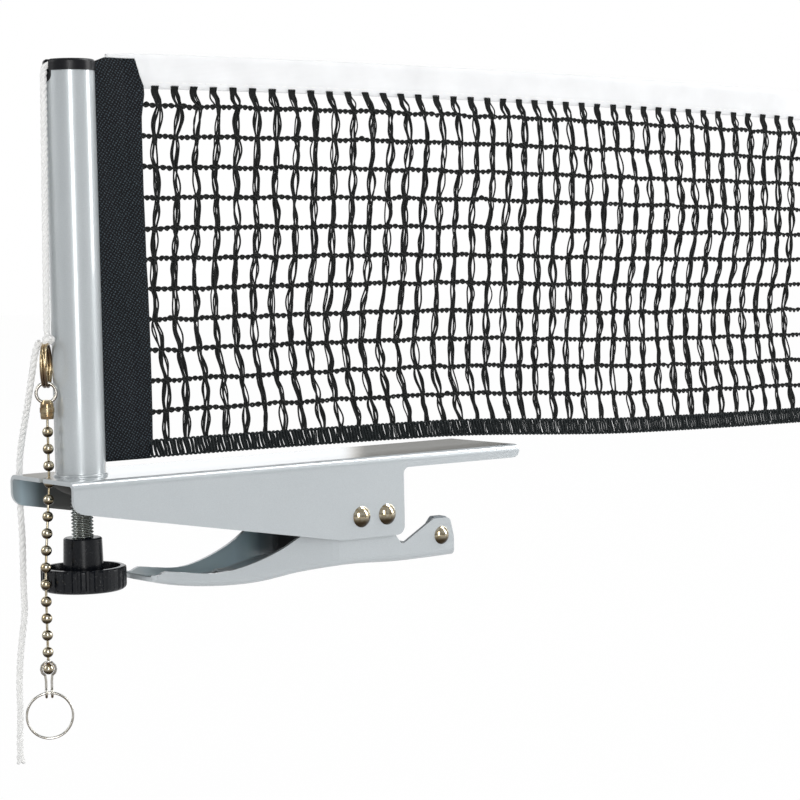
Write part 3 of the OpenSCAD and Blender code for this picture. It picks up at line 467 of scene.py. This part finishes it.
FINISHES = {
    "bracket": BRACKET_COAT,
    "lever": LEVER_COAT,
    "post_tube": COAT,
    "post_cap": BLACK,
    "domed_nut": NUT_PAINTED_SHADE,
    "knob": KNOB,
    "carrier_foot": NYLON,
    "net_rod": ZINC,
    "pivot_rivet": NICKEL,
    "stop_rivet": NICKEL,
    "tip_rivet_near": NICKEL,
    "tip_rivet_far": NICKEL,
    "spring_bush": ZINC,
    "lower_jaw_pad": LINER,
    "upper_jaw_pad": RUBBER,
    "split_ring": BRASS,
    "link_ring": BRIGHT,
    "chain_clasp": BRASS,
    "ball_chain": NICKEL,
    "wire_eye": BRIGHT,
    "pull_ring": BRIGHT,
}


def dress(node, mat):
    """Gives a CAD node's object its material."""
    for ob in bpy.data.objects:
        if ob.type == "MESH" and ob.get("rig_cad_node") == node:
            if not ob.data.materials:
                ob.data.materials.append(mat)
            for i in range(len(ob.data.materials)):
                ob.data.materials[i] = mat
            for s in ob.material_slots:
                s.material = mat


# ---- cords ----

POST_X = -127.0
CORD_D = 2.5
CORD_POINTS = [
    (-117.8, 0, 149.9), (-122, 0, 149.9), (-127, 0, 149.9), (-131.5, 0, 149.9),
    (-134, 0, 150.5), (-136.2, 0, 150), (-137.2, 0, 147.8), (-137.4, 0, 143),
    (-137.5, 0, 138), (-137.8, 0, 120), (-138.2, 0, 100), (-138.6, 0, 80),
    (-138.9, 0, 64), (-139, 0, 56.6),
]  # fmt: skip
TAIL_POINTS = [
    (-141.3, 1.4, 53.6), (-142, 3.4, 49.5), (-141.7, 7, 41.5), (-140.8, 12, 32),
    (-139.8, 18, 21.3), (-138.9, 22.6, 13), (-138.4, 24.7, 5), (-138.3, 24.9, -7.6),
    (-137.9, 24.9, -19), (-138, 24.9, -35), (-137.9, 24.9, -45.7), (-139.1, 24.9, -54),
    (-140.4, 24.9, -64.5), (-140.9, 24.9, -73.7), (-140.9, 24.9, -83.3),
    (-141.4, 24.9, -92.4), (-141.3, 24.9, -100.6),
]  # fmt: skip
KNOT_AT = (-138.8, 0.0, 54.0)
STRANDS = 3
STRAND_SHARE = 0.265  # a strand's radius as a share of the cord's diameter
FRAY, FIBRES, FIBRE_R = 5.0, 16, 0.16


def rope(build, path, diameter, pitch, sides=8, fray=0.0):
    """Strands twisted round a centre line; fray spreads their last millimetres."""
    line, length = even(path, 0.45)
    across = (0, 1, 0)
    a, b = frames_along(line, across)
    run = np.linspace(0, length, len(line))
    r_strand = diameter * STRAND_SHARE
    spread = np.full(len(line), diameter / 2 - r_strand)
    if fray:
        loose = np.clip((run - (length - fray)) / fray, 0, 1) ** 2
        spread = spread * (1 + 0.9 * loose)
    for s in range(STRANDS):
        turn = 2 * math.pi * (run / pitch + s / STRANDS)
        centre = line + spread[:, None] * (np.cos(turn)[:, None] * a + np.sin(turn)[:, None] * b)
        build.tube(centre, r_strand, sides, across)
    return line


def make_cords():
    route = catmull(CORD_POINTS, 4)
    build = Build()
    rope(build, route, CORD_D, 7.0)
    piece = build.object("tension_cord_rope", CORD)
    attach(piece, "root")
    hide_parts("tension_cord")
    knot = make_knot()
    route = catmull(TAIL_POINTS, 4)
    tail = Build()
    line = rope(tail, route, CORD_D, 7.6, fray=FRAY)
    rng = np.random.default_rng(7)
    end, ahead = line[-1], line[-1] - line[-3]
    ahead = ahead / np.linalg.norm(ahead)
    for _ in range(FIBRES):
        out = rng.normal(0, 1, 3) * (1, 1, 0.2)
        root = end + out * 0.3 - ahead * 1.0
        tip = end + out * 0.55 - ahead * rng.uniform(0.1, 0.6)
        tail.tube([root, (root + tip) / 2 + out * 0.1, tip], FIBRE_R, 4)
    loose = tail.object("cord_tail_rope", CORD)
    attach(loose, "root")
    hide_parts("cord_tail")


def make_knot():
    """Two wraps of the cord, the strand that crosses them and the cord that comes in from above."""
    build = Build()
    t = np.arange(0, 2 * math.pi * 2.1, 0.25)
    wrap = np.stack([1.15 * np.cos(t), 1.15 * np.sin(t), -1.1 + 2.3 * t / t[-1]], axis=1)
    over = catmull([
        (-1.9, -0.9, -1.2), (-1.4, -1.9, 0.2), (0.2, -1.9, 0.9), (1.6, -1.0, 0.1), (1.5, 0.6, -0.9),
    ], 6)  # fmt: skip
    above = np.stack([np.zeros(8), np.zeros(8), np.linspace(-1.0, 2.9, 8)], axis=1)
    for path, diameter, pitch in ((wrap, 1.7, 3.2), (over, 1.8, 3.4), (above, 2.3, 7.0)):
        rope(build, np.array(KNOT_AT) + path, diameter, pitch, sides=6)
    knot = build.object("cord_knot_wraps", CORD)
    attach(knot, "root")
    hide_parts("cord_knot")
    return knot


# ---- net ----

NET_X0, NET_END = -96.0, 247.0
ROWS, ROW_TOP, ROW_PITCH = 11, 136.86, 11.06
COL_X0, COL_PITCH = -90.2, 8.62
EDGE_LOW, EDGE_HIGH = 9.2, 16.2
BAND_LOW, BAND_HIGH = 142.9, 155.5
THREADS, THREAD_GAP, TOP_GAP = 6, 0.36, 0.52  # of an upright, and their gap under the tape


def sag(x, z=150.0):
    """The net hangs in a shallow curve; its lower rows hang deeper still."""
    x = np.asarray(x, float)
    t = np.clip((x - 30) / 110, 0, 1)
    belly = 3 * t * t * (3 - 2 * t) - np.where(x > 140, 1.8 * ((x - 140) / 110) ** 2, 0)
    low = np.clip((BAND_LOW - np.asarray(z, float)) / (BAND_LOW - EDGE_HIGH), 0, 1)
    return -0.56 * ((x - NET_X0) / 100) ** 2 - belly * low


def sway(x, z):
    """Slow wander of the columns; the net's middle and lower rows are drawn to the left."""
    far = np.clip((np.asarray(x, float) + 60) / 80, 0, 1)
    near_pull = 4.9 * (1 - far) * np.exp(-(((z - 75) / 32) ** 2))
    far_pull = 5.9 * far * np.exp(-(((z - 48) / 33) ** 2))
    return (
        -(near_pull + far_pull)
        + 0.9 * np.sin(z / 9.5 + x / 47.0)
        + 0.7 * np.sin(z / 17.0 - x / 31.0 + 1.3)
        + 0.35 * np.sin(z / 5.1 + x / 13.0)
    )


def lay_cross_strands(build, rng):
    """Crocheted rows: two plies that stand out in knobs above and below."""
    step, lump = 0.36, 1.3
    x = np.arange(NET_X0 - 3.6, NET_END + 0.1, step)
    lump_x = np.arange(x[0], x[-1] + lump, lump)
    for k in range(ROWS):
        z0 = ROW_TOP - k * ROW_PITCH
        wander = 0.2 * np.sin(x / 5.3 + k) + 0.13 * np.sin(x / 2.3 + 2 * k)
        z = z0 + sag(x, z0) + wander
        pitch = 5.0 + 0.5 * np.sin(x / 23.0 + 3 * k)
        turn = 2 * math.pi * np.cumsum(step / pitch) + k
        lumps = np.interp(x, lump_x, rng.normal(0, 1, len(lump_x)))
        for ply in (0, math.pi):
            high = np.sin(turn + ply)
            wide = 0.5 + 0.12 * lumps * (1 if ply else -1)
            path = np.stack([x, 0.42 * np.cos(turn + ply), z + wide * high + 0.08 * lumps], axis=1)
            build.tube(path, 0.38 + 0.19 * high**2 + 0.05 * lumps.clip(-1.5, 1.5), 6)


def lay_upright(build, rng, column, top, low, from_tape):
    """A bundle of loose threads down to a cross strand, from the one above it or from the tape."""
    s = np.linspace(0, 1, 10)
    z = top + (low - top) * s
    x_top = column + sway(column, top) + (-3.2 if from_tape else 0)
    x_low = column + sway(column, low)
    base = x_top + (x_low - x_top) * (s**0.92 if from_tape else s * s * (3 - 2 * s))
    base = base + rng.normal(0, 0.3) * np.sin(math.pi * s)
    free = np.clip((s - 0.26) / 0.35, 0, 1) if from_tape else 1.0
    order = rng.permutation(THREADS) if rng.random() < 0.4 else np.arange(THREADS)
    split = rng.integers(1, THREADS)
    wide = rng.uniform(0.15, 0.95)
    swell = np.sin(math.pi * s) ** rng.uniform(0.9, 1.8) * free
    middle = (THREADS - 1) / 2
    for t in range(THREADS):
        at_top = (t - middle) * TOP_GAP if from_tape else (order[t] - middle) * THREAD_GAP
        at_low = (t - middle) * THREAD_GAP
        side = 1 if t >= split else -1
        off = at_top * (1 - s) + at_low * s + side * wide * rng.uniform(0.65, 1.1) * swell
        off += free * 0.12 * np.sin(2 * math.pi * s * rng.uniform(0.8, 1.6) + rng.uniform(0, 6.3))
        x = base + off
        y = free * 0.35 * np.sin(2 * math.pi * s * rng.uniform(0.5, 1.1) + t * 1.7)
        if from_tape:
            y = y - 1.15 * np.clip(1 - s / 0.25, 0, 1)
        path = np.stack([x, y, z + sag(x, z)], axis=1)
        build.tube(path, rng.uniform(0.28, 0.38), 5, caps=False)


def make_net():
    rng = np.random.default_rng(21)
    strands, bundles = Build(), Build()
    lay_cross_strands(strands, rng)
    levels = [BAND_LOW + 1.2, *(ROW_TOP - k * ROW_PITCH for k in range(ROWS)), EDGE_HIGH - 0.6]
    for j in range(int((NET_END - 3 - COL_X0) / COL_PITCH) + 1):
        for i in range(len(levels) - 1):
            lay_upright(bundles, rng, COL_X0 + COL_PITCH * j, levels[i], levels[i + 1], i == 0)
    cross = strands.object("net_cross_strands", THREAD)
    up = bundles.object("net_upright_threads", THREAD)
    for piece in (cross, up):
        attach(piece, "lift")
        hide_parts("net_mesh")


def make_edge():
    """Crocheted bottom edge: slanting loops drawn tight between two scalloped lines."""
    rng = np.random.default_rng(5)
    build = Build()
    x = np.arange(NET_X0 - 2.8, NET_END, 0.3)
    for z0, phase, sign in ((EDGE_LOW + 0.85, 0.0, -1), (EDGE_HIGH - 0.75, 1.4, 1)):
        turn = math.pi * x / 1.9 + phase + 0.5 * np.sin(x / 9.0)
        bumps = np.abs(np.sin(turn))
        z = z0 + sag(x, z0) + sign * (0.55 * bumps - 0.2)
        build.tube(np.stack([x, 0.3 * np.cos(turn), z], axis=1), 0.38 + 0.07 * bumps, 6)
    loop_pitch, lead_in = 1.46, 1.6
    s = np.linspace(0, 1, 8)
    for i in range(int((NET_END - NET_X0 + lead_in) / loop_pitch)):
        x0 = NET_X0 - lead_in + i * loop_pitch + rng.normal(0, 0.12)
        slant = 1.5 + rng.normal(0, 0.3)
        for k, side in ((0, 1), (1, -1)):
            swell = np.sin(math.pi * s)
            x = x0 + k * 0.42 + slant * (s - 0.5) + side * 0.2 * swell + 0.12 * np.sin(6.3 * s + i)
            y = side * (0.2 + 0.3 * swell)
            z = EDGE_HIGH - 0.5 - (EDGE_HIGH - EDGE_LOW - 1.0) * s
            path = np.stack([x, y, z + sag(x, EDGE_LOW)], axis=1)
            build.tube(path, rng.uniform(0.30, 0.39), 5, caps=False)
    piece = build.object("net_edge_crochet", EDGING)
    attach(piece, "lift")
    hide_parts("bottom_edge")


def cloth_slab(name, mat, xs, rows, low, high, thick, ripple, lean=lambda x, s: 0):
    """A sheet from low(x) to high(x) with two faces that ripple; lean moves its points along X."""
    build = Build()
    cols = len(xs)
    for side in (-1, 1):
        p = np.zeros((rows, cols, 3))
        for r in range(rows):
            s = r / (rows - 1)
            edge = min(1.0, 6 * s + 0.25, 6 * (1 - s) + 0.25)
            for c, x in enumerate(xs):
                z = low(x) + (high(x) - low(x)) * s
                half = thick(x) / 2 * edge
                p[r, c] = (x + lean(x, s), side * half + ripple(x, z), z)
        build.grid(p if side < 0 else p[:, ::-1])

    def front(r, c):
        return r * cols + c

    def back(r, c):
        return rows * cols + r * cols + (cols - 1 - c)

    # close the rim between the two faces
    end, top = cols - 1, rows - 1
    for c in range(end):
        build.faces.append((front(0, c + 1), front(0, c), back(0, c), back(0, c + 1)))
        build.faces.append((front(top, c), front(top, c + 1), back(top, c + 1), back(top, c)))
    for r in range(top):
        build.faces.append((front(r, 0), front(r + 1, 0), back(r + 1, 0), back(r, 0)))
        build.faces.append((front(r + 1, end), front(r, end), back(r, end), back(r + 1, end)))
    return build.object(name, mat)


TAB_START, TAB_END = -112.0, -100.4  # the tape's narrow tab, inside the sleeve's top
FULL_START = -97.2  # from here on the tape has its full height
SEAM = 2.3  # the stitches' height over the tape's lower edge


def make_band():
    xs = np.concatenate([np.linspace(TAB_START, TAB_END, 12), np.linspace(-100.0, 246.9, 232)])

    def low(x):
        if x <= TAB_END:
            return 153.6
        if x < FULL_START:
            return 154.0 - (x - TAB_END) / 3.2 * 11.1
        return BAND_LOW + sag(x)

    def high(x):
        return (155.0 + 0.5 * min(1, (x - TAB_START) / 13)) if x < NET_X0 else BAND_HIGH + sag(x)

    def thick(x):
        """Thin where it runs under the sleeve's edge."""
        return 1.0 + 0.75 * min(1.0, max(0.0, (x + 97.0) / 1.4))

    def ripple(x, z):
        seam = 0.12 * math.exp(-(((z - BAND_LOW - sag(x) - SEAM) / 0.45) ** 2)) if x > -97 else 0
        wave = 0.16 * math.sin(x / 11.0)
        return seam + wave + 0.1 * math.sin(x / 4.3 + z / 7) + 0.07 * math.sin(z / 2.1 + x / 60)

    band = cloth_slab("top_band_tape", TAPE, xs, 22, low, high, thick, ripple)
    stitches = Build()
    for x in np.arange(-95.0, 245.0, 3.4):
        z = BAND_LOW + SEAM + float(sag(x))
        for side in (-1, 1):
            y = side * 0.88 + ripple(x, z)
            sunk = y - side * 0.12
            stitch = [(x, sunk, z), (x + 0.5, y, z), (x + 1.9, y, z), (x + 2.4, sunk, z)]
            stitches.tube(stitch, 0.13, 5, (0, 0, 1))
    row = stitches.object("top_band_stitches", CORD)
    for piece in (band, row):
        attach(piece, "lift")
        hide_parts("top_band")


SLEEVE_X0, SLEEVE_WIDTH, SLEEVE_FOOT = -117.4, 21.4, 9.3
# Z and X along the sleeve's free edge: it leans at the top and is cut back at the foot
SLEEVE_EDGE = [
    (9.2, -98.4), (14.0, -96.9), (60.0, -97.3), (73.0, -97.5), (80.0, -97.9), (106.0, -98.4),
    (133.0, -98.2), (141.0, -96.8), (147.0, -97.2), (154.0, -98.7),
]  # fmt: skip


def make_end_sleeve():
    def high(x):
        return float(np.interp(x, [SLEEVE_X0, -112.3, NET_X0], [152.1, 153.7, 153.9]))

    def lean(x, s):
        z = SLEEVE_FOOT + (high(x) - SLEEVE_FOOT) * s
        edge = float(np.interp(z, *zip(*SLEEVE_EDGE)))
        return (x - SLEEVE_X0) / SLEEVE_WIDTH * (edge - NET_X0)

    def ripple(x, z):
        fold = 0.22 * math.exp(-(((x + 103.5) / 1.1) ** 2)) * (0.6 + 0.4 * math.sin(z / 19))
        return fold + 0.12 * math.sin(z / 8.5 + x / 3.0) + 0.1 * math.sin(z / 23.0 - x / 5)

    sleeve = cloth_slab(
        "end_sleeve_cloth", TWILL, np.linspace(SLEEVE_X0, NET_X0, 26), 90,
        lambda x: SLEEVE_FOOT, high, lambda x: 1.7, ripple, lean,
    )  # fmt: skip
    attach(sleeve, "lift")
    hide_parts("end_sleeve")
    make_sleeve_loop()  # fmt: skip


def make_sleeve_loop():
    """The sleeve's way through the post's slot and round the rod."""
    build = Build()
    zs = np.linspace(20.9, 136.5, 60)
    turn = np.linspace(math.radians(12), math.radians(348), 36)

    def section(reach, slot, radius, mouth):
        """From the sleeve through the slot, round the rod and back."""
        bow = [(POST_X + radius * math.cos(a), radius * math.sin(a)) for a in turn]
        return [(-117.3, mouth), (reach, slot), *bow, (reach, -slot), (-117.3, -mouth)]

    ring = np.array(section(-122.0, 0.8, 4.55, 0.75) + section(-122.6, 0.1, 3.85, 0.05)[::-1])
    p = np.zeros((len(zs), len(ring), 3))
    p[:, :, :2] = ring
    p[:, :, 2] = zs[:, None]
    build.grid(p, closed=True)
    loop = build.object("sleeve_rod_loop", TWILL)
    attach(loop, "lift")
    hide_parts("end_sleeve")
    return loop


def make_far_sleeve():
    far = cloth_slab(
        "far_sleeve_cloth", TWILL, np.linspace(NET_END, 257.9, 8), 80,
        lambda x: EDGE_LOW + float(sag(x, EDGE_LOW)) + 0.1,
        lambda x: BAND_HIGH + float(sag(x)) - 0.1,
        lambda x: 1.5,
        lambda x, z: 0.1 * math.sin(z / 9.0) + 0.05 * math.sin(z / 3.3 + x),
    )  # fmt: skip
    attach(far, "lift")
    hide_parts("far_sleeve")


# ---- metal pieces ----

SCREW_LOW, SCREW_HIGH = -30.0, 9.6
SCREW_R, THREAD_PITCH, THREAD_DEPTH = 3.99, 1.25, 0.68
SCREW_TIP = [(3.2, 9.55), (2.86, 9.7), (2.86, 13.6), (2.5, 13.98), (0.05, 13.98)]  # radius, Z


def make_screw():
    """M8 screw with its real thread and turned-down tip."""
    build = Build()
    around, per_turn = 64, 14
    z = np.arange(SCREW_LOW, SCREW_HIGH, THREAD_PITCH / per_turn)
    a = np.arange(around) * 2 * math.pi / around
    zz, aa = np.meshgrid(z, a, indexing="ij")
    phase = (zz / THREAD_PITCH - aa / (2 * math.pi)) % 1.0
    tooth = np.clip(1.35 * np.abs(2 * phase - 1) - 0.18, 0, 1)
    r = SCREW_R - THREAD_DEPTH * (1 - tooth)
    into_chamfer = zz - SCREW_HIGH + 0.8
    r = np.where(into_chamfer > 0, np.minimum(r, SCREW_R - into_chamfer), r)
    build.grid(np.stack([POST_X + r * np.cos(aa), r * np.sin(aa), zz], axis=-1), closed=True)
    tip = [[(POST_X + r * math.cos(t), r * math.sin(t), z) for t in a] for r, z in SCREW_TIP]
    build.grid(tip, closed=True)
    screw = build.object("threaded_screw", ZINC)
    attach(screw, "knob")
    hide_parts("height_screw")


PIVOT_X, PIVOT_Z = -8.2, -17.0
COIL_R, COIL_HALF, COIL_STEPS, WIRE_R = 5.5, 7.5, 156, 0.9
LEVER_Z71, LEVER_Z50 = -38.698708, -36.733289  # the lever's plate at X = -71 and -50


def make_spring():
    """Torsion spring, its upper leg under the plate and its lower leg led along the lever."""
    build = Build()
    px, pz, r, half = PIVOT_X, PIVOT_Z, COIL_R, COIL_HALF
    wind = []
    for i in range(COIL_STEPS + 1):
        a = math.radians(90 - 15 * i)
        wind.append((px + r * math.cos(a), half - 2 * half * i / COIL_STEPS, pz + r * math.sin(a)))
    up = [
        (-43, half, 2.7), (-38, half, 2.7),
        (px - 9, half, pz + r + 4.4), (px - 3, half, pz + r + 0.6),
    ]  # fmt: skip
    hook = LEVER_Z71 + 1.5 + WIRE_R + 0.35
    down = [
        (px - 4, -half, pz - r - 0.7), (px - 12, -half, pz - r - 3.6),
        (-50, -1, LEVER_Z50 + 3.9), (-61, 0, hook + 0.2), (-73, 0, hook),
    ]  # fmt: skip
    path = np.vstack([catmull(up, 6)[:-1], wind, catmull(down, 6)[1:]])
    build.tube(path, WIRE_R, 10, (0, 1, 0))
    spring = build.object("closing_spring", WIRE)
    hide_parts("torsion_spring")
    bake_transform(spring)


WELD_R, WELD_Z = 9.12, 5.45  # the bead's centre line


def make_weld():
    """The painted weld round the post's foot."""
    build = Build()
    a = np.linspace(0, 2 * math.pi, 97)[:-1]
    r = 0.62 + 0.04 * np.sin(a * 7) + 0.03 * np.sin(a * 17 + 1)
    turn = np.linspace(math.radians(-80), math.radians(170), 12)
    p = np.zeros((len(turn), len(a), 3))
    for i, t in enumerate(turn):
        out, z = WELD_R + r * math.cos(t), WELD_Z + r * math.sin(t)
        p[i] = np.stack([POST_X + out * np.cos(a), out * np.sin(a), z], axis=1)
    build.grid(p, closed=True)
    weld = build.object("post_foot_weld", COAT)
    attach(weld, "root")


# ---- light and surroundings ----

FLOOR_Z, FLOOR_HALF = -118, 6000


def make_floor():
    """A pale floor that gives light back, and looks white to the camera."""
    mat, sh = new_material("pale_floor")
    grain = sh.noise(40, 2.0)
    sh.surface({
        "Base Color": sh.ramp(grain, [(0.3, (0.80, 0.80, 0.80)), (0.7, (0.83, 0.83, 0.83))]),
        "Roughness": 0.9,
    })  # fmt: skip
    bsdf = sh.nodes["Principled BSDF"].outputs["BSDF"]
    glow = sh.node("Emission", {"Color": (1, 1, 1)}).outputs["Emission"]
    seen = sh.calc("MULTIPLY", sh.node("LightPath").outputs["Is Camera Ray"], 0.985)
    both = sh.node("MixShader", {"Fac": seen, 1: bsdf, 2: glow})
    sh.put(sh.nodes["Material Output"].inputs["Surface"], both.outputs["Shader"])
    corners = [(-1, -1), (1, -1), (1, 1), (-1, 1)]
    verts = [(x * FLOOR_HALF, y * FLOOR_HALF, FLOOR_Z) for x, y in corners]
    new_mesh("studio_floor", verts, [(0, 1, 2, 3)], mat)


def make_world():
    """White to the camera; for light, a white backdrop behind the object and a dim room."""
    world = bpy.data.worlds.new("studio")
    world.use_nodes = True
    sh = Shader(world.node_tree)
    sh.nodes.clear()
    place = sh.node("TexCoord").outputs["Generated"]

    def along(axis, low, high, to_low, to_high):
        """A smooth step from one value to another along one axis of the room."""
        dot = sh.node("VectorMath", {0: place, 1: axis}, operation="DOT_PRODUCT").outputs["Value"]
        return sh.span(dot, to_low, to_high, low, high, kind="SMOOTHSTEP")

    behind, across, up = (0.64, 0.77, 0.0), (0.798, -0.603, 0.0), (0.0, 0.0, 1.0)
    room = along(behind, 0.45, 0.85, 0.34, 1.0)
    # low on the backdrop the paper is brightest straight behind the object, and dull beside it
    left = along(across, -0.150, -0.136, 0.32, 1.3)
    right = along(across, -0.027, -0.015, 1.0, 0.16)
    again = along(across, 0.06, 0.12, 0.0, 0.84)
    low = sh.calc("MULTIPLY", left, sh.calc("ADD", right, again))
    share = sh.calc("MULTIPLY", along(up, 0.10, 0.14, 1.0, 0.0), along(behind, 0.9, 0.95, 0.0, 1.0))
    strength = sh.node("Mix", {0: share, 2: room, 3: low}).outputs[0]
    # and it is warm where it is dull
    to_left = along(across, -0.150, -0.136, 1.0, 0.0)
    to_right = along(across, -0.027, -0.015, 0.0, 1.0)
    warm = sh.calc("MULTIPLY", share, sh.calc("MAXIMUM", to_left, to_right))
    colour = sh.mix(warm, (0.97, 0.985, 1.0), (1.0, 0.93, 0.82))
    lit = sh.node("Background", {"Color": colour, "Strength": strength}).outputs["Background"]
    seen = sh.node("Background", {"Color": (1, 1, 1), "Strength": 1.0}).outputs["Background"]
    camera_ray = sh.node("LightPath").outputs["Is Camera Ray"]
    both = sh.node("MixShader", {"Fac": camera_ray, 1: lit, 2: seen}).outputs["Shader"]
    sh.node("OutputWorld", {"Surface": both})
    bpy.context.scene.world = world


def area_light(name, at, target, size, glow):
    """A soft box; glow is how bright its face looks, where 1 is white."""
    data = bpy.data.lights.new(name, "AREA")
    data.shape = "RECTANGLE"
    data.size, data.size_y = size
    data.energy = glow * math.pi * size[0] * size[1]
    ob = new_object(name, data)
    ob.location = at
    ob.rotation_mode = "QUATERNION"
    ob.rotation_quaternion = (Vector(target) - Vector(at)).to_track_quat("-Z", "Y")


def make_lights():
    middle = Vector((-0.05, 0.0, 0.03))
    back = Vector(CAMERA_BACK)
    right = Vector(CAMERA_RIGHT)

    def toward(angle, rise, far):
        """A point round the object, angle degrees right of the camera."""
        a, e = math.radians(angle), math.radians(rise)
        flat = back * math.cos(a) + right * math.sin(a)
        return middle + Vector((flat.x * math.cos(e), flat.y * math.cos(e), math.sin(e))) * far

    area_light("front_strip", toward(9, 6, 2.2), middle, (0.6, 2.4), 6.0)
    area_light("right_strip", toward(98, 20, 2.0), middle, (0.7, 1.4), 5.0)
    area_light("top_soft", middle + Vector((1.25, -0.15, 1.7)), middle, (0.8, 0.8), 7.0)
    area_light("left_soft", toward(-75, 25, 2.4), middle, (0.9, 1.4), 2.6)


make_camera()
for node, mat in FINISHES.items():
    dress(node, mat)
make_cords()
make_net()
make_edge()
make_band()
make_end_sleeve()
make_far_sleeve()
make_screw()
make_spring()
make_weld()
make_floor()
make_world()
make_lights()
bpy.context.scene.view_settings.view_transform = "Standard"
